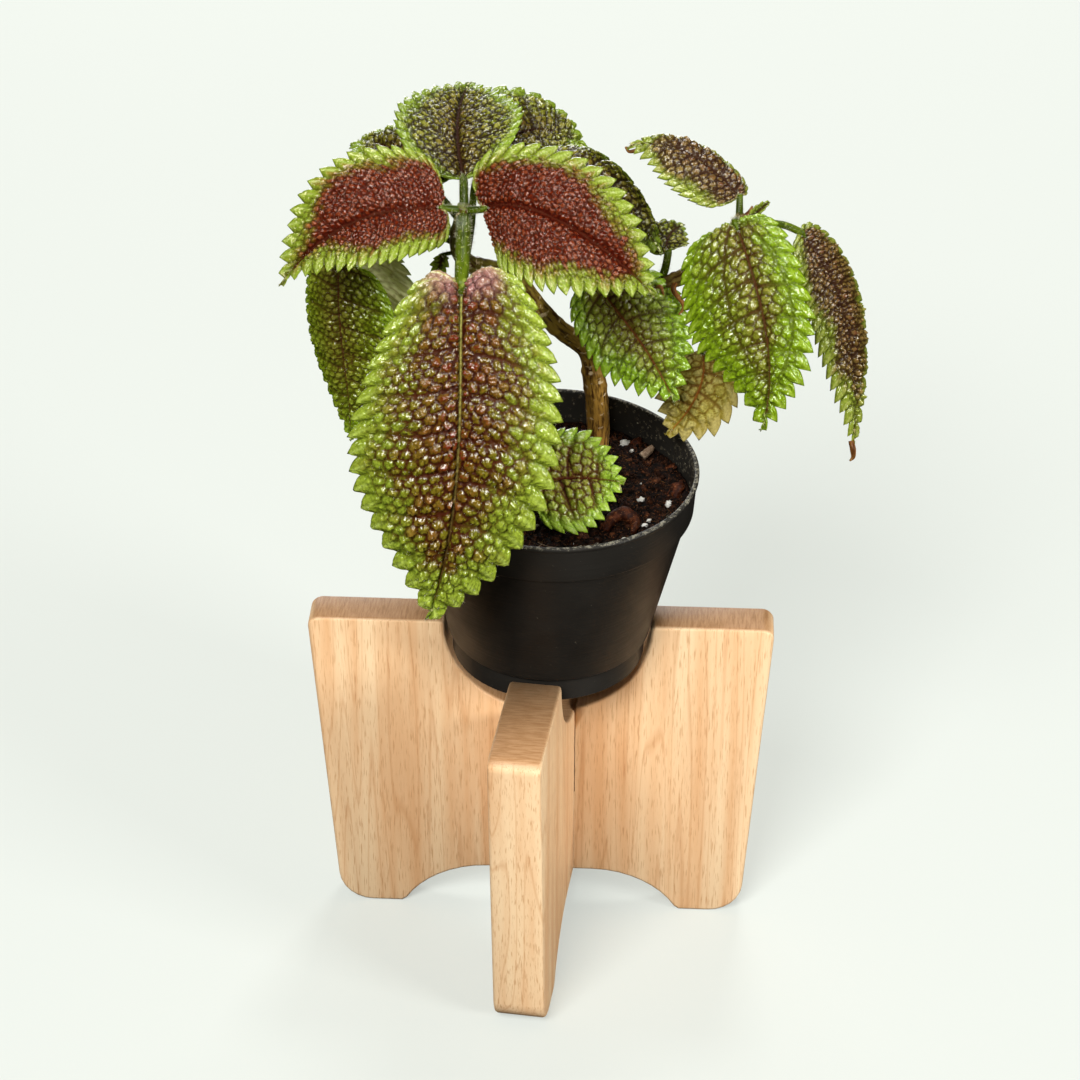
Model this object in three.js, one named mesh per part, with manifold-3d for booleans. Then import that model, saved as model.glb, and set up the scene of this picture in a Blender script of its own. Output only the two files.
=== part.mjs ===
// A friendship plant in a round nursery pot, wedged in the notch of a stand made of two crossed boards.
// Millimetres, +Z up. The side board runs along X, the front board along Y, and the plant leans towards -Y.
import * as THREE from "three";
import { mergeVertices } from "three/addons/utils/BufferGeometryUtils.js";
import Module from "manifold-3d";

const wasm = await Module();
wasm.setup();

const clearance = 0.3; // air kept between pieces that touch

// Stand: both boards share one outline, and each has half of the lap joint. They cross a little off square.
const sideThickness = 14.5;
const sideHeight = 133.7;
const sideTurn = 1.8; // degrees about Z
const frontThickness = 19;
const frontHeight = 129;
const frontTurn = -4.4;
const frontShift = 4; // the front board crosses right of the side board's middle
const halfWidthTop = 85.3;
const halfWidthFoot = 77;
const topCornerRadius = 4.5;
const footCornerRadius = 13;
const instepRadius = 2;
const footInnerX = 53.5; // where the flat of a foot ends and the arch begins
const archTopX = 20;
const archHeight = 18.5;
const notchRadius = 37.9;
const notchCentreHeight = 132.2;
const notchShift = 2.6; // the side board's notch, and the pot in it, stand a little right of the middle
const boardEdge = 1.2; // eased edge all round a board
const lapHeight = 56.8;

// Pot: a tapered wall, an upright collar and a small step above the base.
const potBaseHeight = 118;
const seatRise = 2.5; // the potted plant is drawn this much lower than it sits in the notches
const potHeight = 77.7;
const potWall = 1.2;
const baseRadius = 35;
const stepRadius = 36.7;
const stepHeight = 9.8;
const collarHeight = 62.9; // lower edge of the collar above the pot's base
const bodyTopRadius = 48.9;
const collarRadius = 50.5;
const rimRadius = 51.8;
const drainHoles = 6;
const drainHoleRadius = 3.5;
const drainRingRadius = 24;
const soilHeight = 65; // above the pot's base
const potLean = [1, 1.2]; // degrees about X and Y
const potSides = 48;

// Plant
const bladeThickness = 1;
const stalkSides = 7;
const stemRoute = [
  [14, 24, 158], [18, 33, 186], [16.5, 30.5, 214], [14, 28.5, 226], [4, 21, 239],
  [-4, 13, 254], [-8.5, 6, 265], [-16, -1, 273], [-24, -8, 279], [-27, -11, 288], [-24.5, -12, 302.5],
];
const stemRadii = [4.3, 4.2, 4.1, 3.7, 3.2, 3.2, 3.1, 3, 2.9, 2.8, 2.4];
const branchRoute = [[12, 27, 228], [26, 26, 242], [38, 22, 255], [50, 18, 265], [60, 10, 279], [67, 4, 294]];
const branchRadii = [2.9, 2.7, 2.5, 2.5, 2.2, 2];

// Each leaf has four points along its midrib, the widths of its right and left halves, the directions that
// its upper face looks at the base and at the tip, the slopes in degrees of its right and left halves at the
// midrib and at the margin, the share of its length where it is widest, how narrow its base is, and its
// stalk from the stem to the blade.
const leaves = {
  front_leaf: {
    rib: [[-21.5, -51, 295], [-20.5, -69, 266], [-22.5, -76, 226], [-32.3, -73, 177.5]],
    halves: [37, 33.5], faces: [[0.05, -0.9, 0.43], [0, -1, 0.1]], slopes: [[8, -30], [8, -30]],
    widest: 0.44, taper: 0.2, stalk: [[-24.8, -12, 298], [-23.2, -28, 300.5], [-22, -43, 299]],
    stalkRadius: 2.2, on: "main_stem",
  },
  left_red_leaf: {
    rib: [[-31, -15, 303], [-47.5, -21, 304.5], [-66, -27, 299], [-83.5, -34, 282]],
    halves: [23, 19], faces: [[0, -0.5, 0.87], [-0.5, -0.7, 0.5]], slopes: [[14, -4], [14, -6]],
    widest: 0.37, taper: 0.25, stalk: [[-24.5, -12, 300.8]], stalkRadius: 1.3, on: "main_stem",
  },
  right_red_leaf: {
    rib: [[-18, -15, 303], [-1.5, -20, 306.5], [20, -24, 297], [39.5, -26, 279]],
    halves: [23, 22], faces: [[0, -0.75, 0.66], [0.4, -0.7, 0.5]], slopes: [[5, -12], [5, -12]],
    widest: 0.4, taper: 0.25, stalk: [[-24.8, -12, 300.8]], stalkRadius: 1.3, on: "main_stem",
  },
  back_leaf: {
    rib: [[-26.5, 5, 303.5], [-30.5, 24, 309.5], [-32, 45, 311.5], [-30.5, 67, 310]],
    halves: [22, 21], faces: [[0, -0.3, 0.95], [0, 0.1, 0.95]], slopes: [[14, 0], [14, 0]],
    widest: 0.45, taper: 0.5, stalk: [[-24.7, -11.8, 300.6], [-25.5, -4, 302.5]], stalkRadius: 1.6, on: "main_stem",
  },
  back_left_leaf: {
    rib: [[-37.5, 8, 298.5], [-46, 19, 302], [-57, 31, 302.5], [-67.5, 41, 298]],
    halves: [19, 15], faces: [[-0.2, -0.3, 0.93], [-0.3, 0.1, 0.95]], slopes: [[10, -10], [10, -10]],
    widest: 0.42, taper: 0.3, stalk: [[-25.6, -11.8, 296], [-31.5, -1, 297]], stalkRadius: 1.3, on: "main_stem",
  },
  back_right_leaf: {
    rib: [[-23, 20, 299], [-14, 40, 302.5], [-2, 53, 300], [11, 56, 291]],
    halves: [20, 24], faces: [[0.2, -0.35, 0.9], [0.4, -0.2, 0.9]], slopes: [[6, -20], [6, -20]],
    widest: 0.42, taper: 0.3, stalk: [[-24.6, -8.7, 281], [-24, 3, 287], [-24, 13, 295]],
    stalkRadius: 1.3, on: "main_stem",
  },
  shoulder_leaf: {
    rib: [[3, 18, 300], [15, 21.5, 300.5], [29.5, 19, 288.5], [40, 13, 274]],
    halves: [20, 15], faces: [[0.1, -0.4, 0.9], [0.6, -0.3, 0.7]], slopes: [[0, -45], [0, -50]],
    widest: 0.42, taper: 0.3, stalk: [[-8.5, 6, 265], [-5, 14, 283]], stalkRadius: 1.5, on: "main_stem",
  },
  lower_left_leaf: {
    rib: [[-70, 2, 272], [-70.5, 2, 248], [-69.5, 4, 225], [-68.5, 6, 198]],
    halves: [23, 23], faces: [[-0.4, -0.9, 0.15], [-0.4, -0.9, 0]], slopes: [[-10, -50], [0, -20]],
    widest: 0.45, taper: 0.25, stalk: [[-26.6, -11.3, 291.5], [-45, 0, 289.5], [-61, 2, 281]],
    stalkRadius: 1.4, on: "main_stem",
  },
  left_underside_leaf: {
    rib: [[-62, 16, 272], [-61.5, 20, 257], [-61, 23, 242], [-61, 23, 227]],
    halves: [15, 15], faces: [[0, 0.9, 0.3], [0, 1, 0]], slopes: [[0, -15], [0, -15]],
    widest: 0.45, taper: 0.3, stalk: [[-26.8, -11, 287.5], [-42, 5, 284.5], [-55, 13, 279]],
    stalkRadius: 1.2, on: "main_stem",
  },
  hanging_leaflet: {
    rib: [[-32, -13, 284.5], [-32.5, -13.5, 282], [-33.5, -13.5, 279], [-34.5, -13.5, 276]],
    halves: [2.5, 2.5], faces: [[0, -1, 0.2], [0, -1, 0]], slopes: [[0, 0], [0, 0]],
    widest: 0.5, taper: 0.3, stalk: [[-26, -10.2, 284.5]], stalkRadius: 0.8, on: "main_stem",
  },
  middle_leaf: {
    rib: [[17, 12, 264], [27, 8, 252], [37, 4, 239.5], [46.5, 2, 222]],
    halves: [17, 21], faces: [[0.1, -0.75, 0.65], [0.2, -0.8, 0.5]], slopes: [[4, -20], [4, -20]],
    widest: 0.45, taper: 0.25, stalk: [[24, 26, 240], [18, 23, 252], [15, 16, 262]],
    stalkRadius: 1.5, on: "right_branch",
  },
  withered_leaf: {
    rib: [[55, 22, 231.5], [55.5, 18, 222], [51.5, 15, 212], [43.5, 13, 201.5]],
    halves: [15, 14], faces: [[0.1, -0.85, 0.5], [0, -0.85, 0.5]], slopes: [[0, -20], [0, -20]],
    widest: 0.5, taper: 0.3, stalk: [[50, 18, 265], [55, 24, 250]], stalkRadius: 1.1, on: "right_branch",
  },
  small_leaf: {
    rib: [[42, 26, 268], [41.5, 29, 271], [43.5, 33, 273], [47, 37, 273]],
    halves: [7, 8], faces: [[0.1, -0.5, 0.85], [0.1, -0.3, 0.9]], slopes: [[0, -20], [0, -20]],
    widest: 0.45, taper: 0.3, stalk: [[38, 22, 255], [41, 23, 262]], stalkRadius: 1.4, on: "right_branch",
  },
  right_green_leaf: {
    rib: [[65, -6, 297], [73, -20, 279.5], [78, -30, 259], [77, -34, 234]],
    halves: [27, 16], faces: [[-0.25, -0.8, 0.55], [-0.25, -0.95, 0.2]], slopes: [[4, -25], [4, -25]],
    widest: 0.38, taper: 0.25, stalk: [[66, 4.9, 291.5], [65.2, -1, 295]], stalkRadius: 1.5, on: "right_branch",
  },
  right_back_leaf: {
    rib: [[66, 9, 299], [57, 15, 306], [42.5, 21, 311.5], [27, 23, 308.5]],
    halves: [11, 14], faces: [[0, -0.35, 0.93], [0, -0.35, 0.93]], slopes: [[-10, -60], [0, -40]],
    widest: 0.42, taper: 0.4, stalk: [[66.2, 4.8, 292]], stalkRadius: 1.2, on: "right_branch",
  },
  far_right_leaf: {
    rib: [[87, 6, 288], [100, 4, 268], [107.5, 1, 240], [109, -2, 206]],
    halves: [13, 16], faces: [[0.4, -0.4, 0.8], [0.85, -0.55, 0.1]], slopes: [[0, -45], [0, -40]],
    widest: 0.4, taper: 0.4, stalk: [[65, 5.7, 289.4], [74, 6.5, 290.5], [81, 7, 290]], stalkRadius: 1.2,
    on: "right_branch",
  },
  bud_leaf: {
    rib: [[70.5, 2.5, 294.5], [72, 2.5, 296.5], [74, 3, 298.5], [76, 4, 300]],
    halves: [3, 3], faces: [[0, -0.7, 0.7], [0, -0.7, 0.7]], slopes: [[35, 35], [35, 35]],
    widest: 0.4, taper: 0.3, stalk: [[66.2, 4.7, 292]], stalkRadius: 0.8, on: "right_branch",
  },
  soil_leaf: {
    rib: [[0, -13.5, 197.5], [10, -12.5, 198], [20, -11, 197.5], [29.5, -9.5, 195]],
    halves: [20, 19], faces: [[0.1, -0.6, 0.8], [0.2, -0.6, 0.75]], slopes: [[4, -10], [4, -20]],
    widest: 0.36, taper: 0.2, stalk: [[-6, 0, 168], [-5, -4, 182], [-3, -11, 195]],
    stalkRadius: 1.3, on: "potting_mix",
  },
};

const finishes = {
  wood: { color: 0xd9b184, roughness: 0.65, metalness: 0 },
  plastic: { color: 0x1c1c1d, roughness: 0.5, metalness: 0 },
  soil: { color: 0x2a1a12, roughness: 1, metalness: 0 },
  bark: { color: 0x6b4a2c, roughness: 0.6, metalness: 0 },
  greenLeaf: { color: 0x6f9a35, roughness: 0.5, metalness: 0 },
  redLeaf: { color: 0x7a3325, roughness: 0.5, metalness: 0 },
  witheredLeaf: { color: 0xa89a5c, roughness: 0.8, metalness: 0 },
};
const redLeaves = ["left_red_leaf", "right_red_leaf", "front_leaf"];

const vector = ([x, y, z]) => new THREE.Vector3(x, y, z);

function solidFrom(geometry) {
  const bare = geometry.clone();
  bare.deleteAttribute("normal");
  bare.deleteAttribute("uv");
  const merged = mergeVertices(bare, 1e-3);
  const vertProperties = new Float32Array(merged.attributes.position.array);
  const triVerts = new Uint32Array(merged.index.array);
  return new wasm.Manifold(new wasm.Mesh({ numProp: 3, vertProperties, triVerts }));
}

function geometryFrom(solid) {
  const { vertProperties, triVerts } = solid.getMesh();
  const geometry = new THREE.BufferGeometry();
  geometry.setAttribute("position", new THREE.BufferAttribute(vertProperties, 3));
  geometry.setIndex(new THREE.BufferAttribute(triVerts, 1));
  geometry.computeVertexNormals();
  return geometry;
}

function named(name, geometry, finish) {
  const mesh = new THREE.Mesh(geometry, new THREE.MeshStandardMaterial(finish));
  mesh.name = name;
  return mesh;
}

// A closed polygon with an arc of the given radius at each corner [x, y, radius].
function filleted(corners) {
  const arcSteps = 6;
  return corners.flatMap(([x, y, radius], i) => {
    const corner = new THREE.Vector2(x, y);
    if (!radius) return [corner];
    const before = corners.at(i - 1);
    const after = corners[(i + 1) % corners.length];
    const back = new THREE.Vector2(before[0] - x, before[1] - y).normalize();
    const on = new THREE.Vector2(after[0] - x, after[1] - y).normalize();
    const halfAngle = Math.acos(back.dot(on)) / 2;
    const centre = back.clone().add(on).setLength(radius / Math.sin(halfAngle)).add(corner);
    const start = back.clone().multiplyScalar(radius / Math.tan(halfAngle)).add(corner).sub(centre);
    const turn = (Math.PI - 2 * halfAngle) * Math.sign(on.cross(back));
    return Array.from({ length: arcSteps + 1 }, (_, k) =>
      start.clone().rotateAround(new THREE.Vector2(), (turn * k) / arcSteps).add(centre),
    );
  });
}

// One board standing across X, centred on the Z axis, before its half of the lap is cut.
function boardGeometry(thickness, height, notchX) {
  const arch = new THREE.CubicBezierCurve(
    new THREE.Vector2(footInnerX - instepRadius, 1.5),
    new THREE.Vector2(46, 11),
    new THREE.Vector2(34, archHeight),
    new THREE.Vector2(archTopX, archHeight),
  ).getPoints(8);
  const right = [
    ...arch.reverse(),
    ...filleted([
      [footInnerX, 0, 0],
      [halfWidthFoot, 0, footCornerRadius],
      [halfWidthTop, height, topCornerRadius],
      [notchRadius, height, 0],
    ]).slice(0, -1),
  ];
  const left = right.map(({ x, y }) => new THREE.Vector2(-x, y)).reverse();
  // Above its centre the notch opens outward.
  const mouth = Math.max(0, height - notchCentreHeight);
  const dip = Math.asin(Math.max(0, notchCentreHeight - height) / notchRadius);
  const notch = new THREE.EllipseCurve(
    notchX, notchCentreHeight, notchRadius, notchRadius, -dip, Math.PI + dip, true,
  ).getPoints(24);
  if (mouth) {
    notch.unshift(new THREE.Vector2(notchX + notchRadius + mouth, height));
    notch.push(new THREE.Vector2(notchX - notchRadius - mouth, height));
  }
  const outline = new THREE.Shape([...right, ...notch, ...left]);
  const board = new THREE.ExtrudeGeometry(outline, {
    depth: thickness - 2 * boardEdge,
    bevelThickness: boardEdge,
    bevelSize: boardEdge,
    bevelOffset: -boardEdge,
    bevelSegments: 2,
  });
  board.translate(0, 0, boardEdge - thickness / 2);
  return board.rotateX(Math.PI / 2);
}

// The upright space that a board standing across Y needs, between two heights.
function slotGeometry(thickness, lowest, highest) {
  const slot = new THREE.BoxGeometry(thickness + 2 * clearance, 4 * thickness, highest - lowest);
  return slot.translate(0, 0, (highest + lowest) / 2);
}

function makeStand() {
  const across = Math.PI / 2;
  const turnSide = THREE.MathUtils.degToRad(sideTurn);
  const turnFront = THREE.MathUtils.degToRad(frontTurn);
  const side = boardGeometry(sideThickness, sideHeight, notchShift).rotateZ(turnSide);
  const front = boardGeometry(frontThickness, frontHeight, 0)
    .rotateZ(across + turnFront)
    .translate(frontShift, 0, 0);
  const sideSlot = slotGeometry(frontThickness, lapHeight - clearance / 2, sideHeight)
    .rotateZ(turnFront)
    .translate(frontShift, 0, 0);
  const frontSlot = slotGeometry(sideThickness, -1, lapHeight + clearance / 2).rotateZ(across + turnSide);
  const stand = new THREE.Group();
  const cut = (board, slot) => geometryFrom(solidFrom(board).subtract(solidFrom(slot)));
  stand.add(named("side_board", cut(side, sideSlot), finishes.wood));
  stand.add(named("front_board", cut(front, frontSlot), finishes.wood));
  return stand;
}

function makePot() {
  const bodySlope = (bodyTopRadius - stepRadius) / (collarHeight - stepHeight);
  const lip = 0.4;
  const footRing = 4;
  const floorRise = 2.2;
  const profile = [
    [0, floorRise],
    [baseRadius - footRing - floorRise, floorRise],
    [baseRadius - footRing, 0],
    [baseRadius - lip, 0],
    [baseRadius, lip],
    [baseRadius + lip, stepHeight - lip],
    [stepRadius, stepHeight],
    [bodyTopRadius, collarHeight],
    [collarRadius, collarHeight + lip],
    [rimRadius - lip, potHeight - 3 * lip],
    [rimRadius, potHeight - 2 * lip],
    [rimRadius, potHeight - lip],
    [rimRadius - lip, potHeight],
    [rimRadius - potWall - lip, potHeight],
    [collarRadius - potWall, collarHeight + potWall],
    [bodyTopRadius - potWall, collarHeight],
    [stepRadius - potWall, stepHeight + bodySlope],
    [baseRadius - potWall, stepHeight],
    [baseRadius - 2 * potWall, floorRise + potWall],
    [0, floorRise + potWall],
  ].map(([radius, height]) => new THREE.Vector2(radius, height));
  let pot = solidFrom(new THREE.LatheGeometry(profile, potSides));
  for (let i = 0; i < drainHoles; i += 1) {
    const angle = (2 * Math.PI * i) / drainHoles;
    const hole = new THREE.CylinderGeometry(drainHoleRadius, drainHoleRadius, 4 * floorRise, 12);
    hole.translate(drainRingRadius * Math.cos(angle), floorRise, drainRingRadius * Math.sin(angle));
    pot = pot.subtract(solidFrom(hole));
  }
  return geometryFrom(pot).rotateX(Math.PI / 2);
}

function makeSoil() {
  const inner = potWall + clearance;
  const floor = 2.2 + inner;
  const soilTopRadius = collarRadius - inner - 0.2;
  const profile = [
    [0, floor],
    [baseRadius - 2 * potWall - clearance - 0.2, floor],
    [baseRadius - inner - 0.2, stepHeight],
    [stepRadius - inner, stepHeight + 1],
    [bodyTopRadius - inner, collarHeight],
    [soilTopRadius, collarHeight + inner],
    [soilTopRadius, soilHeight],
    [soilTopRadius - 6, soilHeight + 0.6],
    [20, soilHeight],
    [0, soilHeight + 0.5],
  ].map(([radius, height]) => new THREE.Vector2(radius, height));
  return new THREE.LatheGeometry(profile, potSides).rotateX(Math.PI / 2);
}

// A round limb along a route, with a radius for each of the route's points.
function limb(route, radii, sides = 10, stepsPerSpan = 2) {
  const path = new THREE.CatmullRomCurve3(route.map(vector), false, "centripetal");
  const spans = route.length - 1;
  const rows = spans * stepsPerSpan;
  const frames = path.computeFrenetFrames(rows);
  const geometry = new THREE.CylinderGeometry(1, 1, 1, sides, rows);
  const position = geometry.attributes.position;
  for (let i = 0; i < position.count; i += 1) {
    const row = Math.round((position.getY(i) + 0.5) * rows);
    const along = (row / rows) * spans;
    const span = Math.min(Math.floor(along), spans - 1);
    const radius = THREE.MathUtils.lerp(radii[span], radii[span + 1], along - span);
    const across = frames.normals[row];
    const other = new THREE.Vector3().crossVectors(across, frames.tangents[row]);
    const place = path
      .getPointAt(row / rows)
      .addScaledVector(across, radius * position.getX(i))
      .addScaledVector(other, radius * position.getZ(i));
    position.setXYZ(i, place.x, place.y, place.z);
  }
  return geometry;
}

// The cubic curve that passes through four points at even steps.
function ribCurve([start, near, far, end]) {
  const pull = (a, b, c, d) =>
    a.clone().multiplyScalar(-5).addScaledVector(b, 18).addScaledVector(c, -9).addScaledVector(d, 2)
      .divideScalar(6);
  return new THREE.CubicBezierCurve3(start, pull(start, near, far, end), pull(end, far, near, start), end);
}

// The outline's half width at a share u of the length, as a share of its widest.
function fullness(leaf, u) {
  const skew = Math.log(0.5) / Math.log(leaf.widest);
  return Math.sin(Math.PI * u ** skew) ** (leaf.taper + 0.95 * u * u);
}

// A thin curved blade: a flat box bent along the rib, with each half sloping away from it.
function blade(leaf) {
  const rib = ribCurve(leaf.rib.map(vector));
  const [baseFace, tipFace] = leaf.faces.map(vector);
  const geometry = new THREE.BoxGeometry(2, 1, bladeThickness, 6, 9, 1);
  const position = geometry.attributes.position;
  for (let i = 0; i < position.count; i += 1) {
    const v = position.getX(i);
    const u = THREE.MathUtils.lerp(0.01, 0.985, position.getY(i) + 0.5);
    const along = rib.getTangent(u);
    const face = baseFace.clone().lerp(tipFace, u).projectOnPlane(along).normalize();
    const side = new THREE.Vector3().crossVectors(along, face);
    const half = v > 0 ? 0 : 1;
    const [atRib, atMargin] = leaf.slopes[half];
    const slope = THREE.MathUtils.degToRad(atRib + ((atMargin - atRib) * Math.abs(v)) / 2);
    const reach = leaf.halves[half] * fullness(leaf, u) * Math.abs(v);
    const place = rib
      .getPoint(u)
      .addScaledVector(side, reach * Math.cos(slope) * Math.sign(v))
      .addScaledVector(face, reach * Math.sin(slope) + position.getZ(i));
    position.setXYZ(i, place.x, place.y, place.z);
  }
  return geometry;
}

// The stalk ends a little way up the midrib.
function stalkRoute(leaf) {
  return [...leaf.stalk, ribCurve(leaf.rib.map(vector)).getPoint(0.03).toArray()];
}

// A leaf is one solid, blade and stalk, cut back to clear the limb that it grows from.
function leafGeometry(leaf, rooms) {
  const route = stalkRoute(leaf);
  const stalk = limb(route, route.map(() => leaf.stalkRadius), stalkSides);
  const solid = solidFrom(blade(leaf)).add(solidFrom(stalk));
  return geometryFrom(rooms[leaf.on] ? solid.subtract(rooms[leaf.on]) : solid);
}

// The space that a limb needs: wider and longer than it by the clearance.
function roomFor(route, radii, sides) {
  const points = route.map(vector);
  const [first, second] = points;
  const [last, beforeLast] = points.toReversed();
  const start = first.clone().sub(second).setLength(clearance).add(first);
  const end = last.clone().sub(beforeLast).setLength(clearance).add(last);
  const longer = [start, ...points.slice(1, -1), end].map((point) => point.toArray());
  return solidFrom(limb(longer, radii.map((radius) => radius + clearance), sides));
}

const stemRoom = roomFor(stemRoute, stemRadii, 10);
const branchRoom = roomFor(branchRoute, branchRadii, 8);

// The soil is hollowed for the foot of the stem and of the leaf that rises from it.
function rootedSoil(soil) {
  const route = stalkRoute(leaves.soil_leaf);
  const stalkRoom = roomFor(route, route.map(() => leaves.soil_leaf.stalkRadius), stalkSides);
  return geometryFrom(solidFrom(soil).subtract(stemRoom).subtract(stalkRoom));
}

function leaned(geometry) {
  const [aboutX, aboutY] = potLean.map(THREE.MathUtils.degToRad);
  return geometry.rotateX(aboutX).rotateY(aboutY).translate(notchShift, 0, potBaseHeight);
}

const plant = new THREE.Group();
plant.add(makeStand());
const potted = new THREE.Group();
potted.position.z = seatRise;
plant.add(potted);
potted.add(named("pot", leaned(makePot()), finishes.plastic));
potted.add(named("potting_mix", rootedSoil(leaned(makeSoil())), finishes.soil));
potted.add(named("main_stem", limb(stemRoute, stemRadii), finishes.bark));
const branch = solidFrom(limb(branchRoute, branchRadii, 8)).subtract(stemRoom);
potted.add(named("right_branch", geometryFrom(branch), finishes.bark));
for (const [name, leaf] of Object.entries(leaves)) {
  const finish = redLeaves.includes(name) ? finishes.redLeaf : finishes.greenLeaf;
  const geometry = leafGeometry(leaf, { main_stem: stemRoom, right_branch: branchRoom });
  potted.add(named(name, geometry, name === "withered_leaf" ? finishes.witheredLeaf : finish));
}

// The origin is the middle of the whole object's box, at the floor.
const extent = new THREE.Box3().setFromObject(plant, true);
const centre = extent.getCenter(new THREE.Vector3());
plant.position.set(-centre.x, -centre.y, -extent.min.z);

export default plant;
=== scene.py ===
# A friendship plant in a nursery pot, seated in the notch of a stand made of two crossed boards.
# Sizes in the dictionaries are millimetres and degrees, measured from the middle of the stand, seatRise above
# the floor.
import math
import bpy
import bmesh
import numpy as np
from mathutils import Euler, Matrix, Vector, noise


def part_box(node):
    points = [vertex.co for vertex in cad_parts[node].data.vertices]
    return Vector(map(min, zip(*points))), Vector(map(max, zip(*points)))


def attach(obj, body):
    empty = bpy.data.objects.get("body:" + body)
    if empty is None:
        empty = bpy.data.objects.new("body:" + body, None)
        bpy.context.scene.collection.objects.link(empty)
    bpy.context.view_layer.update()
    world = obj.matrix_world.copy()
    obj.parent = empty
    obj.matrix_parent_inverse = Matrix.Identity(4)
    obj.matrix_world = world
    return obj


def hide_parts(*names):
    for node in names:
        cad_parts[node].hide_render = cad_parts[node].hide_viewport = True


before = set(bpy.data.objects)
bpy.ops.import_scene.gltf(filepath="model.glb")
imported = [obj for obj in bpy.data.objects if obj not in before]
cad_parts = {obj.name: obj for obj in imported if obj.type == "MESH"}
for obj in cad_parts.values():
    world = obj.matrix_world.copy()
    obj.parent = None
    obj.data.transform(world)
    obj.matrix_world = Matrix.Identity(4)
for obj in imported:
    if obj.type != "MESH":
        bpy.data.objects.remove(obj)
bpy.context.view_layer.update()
millimetre = 0.001
seatRise = 2.5
boardLow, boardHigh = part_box("side_board")
standCentre = Vector(((boardLow.x + boardHigh.x) / 2, (boardLow.y + boardHigh.y) / 2, seatRise * millimetre))


def toLinear(hexColour):
    channels = [int(hexColour[i:i + 2], 16) / 255 for i in (1, 3, 5)]
    return [c / 12.92 if c <= 0.04045 else ((c + 0.055) / 1.055) ** 2.4 for c in channels] + [1.0]


def addNode(tree, kind, inputs=None, **settings):
    node = tree.nodes.new("ShaderNode" + kind)
    for setting, value in settings.items():
        setattr(node, setting, value)
    for key, value in (inputs or {}).items():
        if isinstance(value, bpy.types.NodeSocket):
            tree.links.new(value, node.inputs[key])
        else:
            node.inputs[key].default_value = value
    return node


def startMaterial(name):
    material = bpy.data.materials.new(name)
    material.use_nodes = True
    material.node_tree.nodes.clear()
    return material, material.node_tree


def finishMaterial(material, inputs):
    # each entry is a node's output or a plain value
    surface = addNode(material.node_tree, "BsdfPrincipled", inputs)
    addNode(material.node_tree, "OutputMaterial", {"Surface": surface.outputs[0]})
    return material


def placed(points):
    return points * millimetre + np.array(standCentre)


def unit(vectors):
    return vectors / (np.linalg.norm(vectors, axis=1, keepdims=True) + 1e-12)


def addObject(name, data):
    thing = bpy.data.objects.new(name, data)
    bpy.context.scene.collection.objects.link(thing)
    return thing


def finishPiece(mesh, name, node, materials, smooth=True):
    # the piece stands for its part of the node, whose CAD part is hidden
    piece = addObject(name, mesh)
    for material in materials:
        mesh.materials.append(material)
    mesh.polygons.foreach_set("use_smooth", [smooth] * len(mesh.polygons))
    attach(piece, "root")
    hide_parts(node)
    return piece


def meshFrom(bm, name):
    mesh = bpy.data.meshes.new(name)
    bm.to_mesh(mesh)
    bm.free()
    return mesh


def gridMesh(name, columns, rows, size=1):
    bm = bmesh.new()
    bmesh.ops.create_grid(bm, x_segments=columns, y_segments=rows, size=size)
    return meshFrom(bm, name)


def applied(thing, name):
    # the object's mesh with its modifiers applied, in place of the object
    mesh = bpy.data.meshes.new_from_object(thing.evaluated_get(bpy.context.evaluated_depsgraph_get()))
    bpy.data.objects.remove(thing)
    mesh.name = name
    return mesh


def weld(mesh, distance, outward=False):
    bm = bmesh.new()
    bm.from_mesh(mesh)
    bmesh.ops.remove_doubles(bm, verts=bm.verts, dist=distance)
    if outward:
        bmesh.ops.recalc_face_normals(bm, faces=bm.faces)
    bm.to_mesh(mesh)
    bm.free()


def readPoints(mesh):
    flat = np.empty(len(mesh.vertices) * 3)
    mesh.vertices.foreach_get("co", flat)
    return flat.reshape(-1, 3)


def writePoints(mesh, points):
    mesh.vertices.foreach_set("co", points.ravel())
    mesh.update()


def addColours(mesh, name, *columns):
    layer = mesh.color_attributes.new(name, "FLOAT_COLOR", "POINT")
    layer.data.foreach_set("color", np.stack(columns, 1).ravel())


def addValues(mesh, name, *columns):
    # one number for each vertex, or three
    kind, field = ("FLOAT", "value") if len(columns) == 1 else ("FLOAT_VECTOR", "vector")
    mesh.attributes.new(name, kind, "POINT").data.foreach_set(field, np.stack(columns, 1).ravel())


def smoothStep(low, high, value):
    share = np.clip((value - low) / (high - low), 0, 1)
    return share * share * (3 - 2 * share)


# camera, light and floor

view = {
    "place": (73.2, -893.3, 761.6),
    "down": 33.74,
    "turn": 4.71,
    "lens": 100,
    "sensor": 36,
}


def makeCamera():
    data = bpy.data.cameras.new("camera")
    data.lens = view["lens"]
    data.sensor_width = view["sensor"]
    camera = addObject("camera", data)
    camera.location = Vector(view["place"]) * millimetre + standCentre
    camera.rotation_euler = Euler((math.radians(90 - view["down"]), 0, math.radians(view["turn"])))
    bpy.context.scene.camera = camera


studio = {
    "key": {"place": (-630, -1980, 2250), "size": 1150, "watts": 108},
    "fill": {"place": (2150, -1250, 1100), "size": 800, "watts": 58},
    "top": {"place": (180, 1400, 2340), "size": 500, "watts": 24},
    "back": {"place": (-500, 2100, 420), "size": 1300, "watts": 26},
    "world": "#efe9d8",
    "worldStrength": 0.2,
    "aim": 200,
    "floor": "#eef3ec",
    "floorShade": 0.32,
    "floorGlow": (0.49, 0.6),
    "floorSize": 6000,
}


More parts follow.
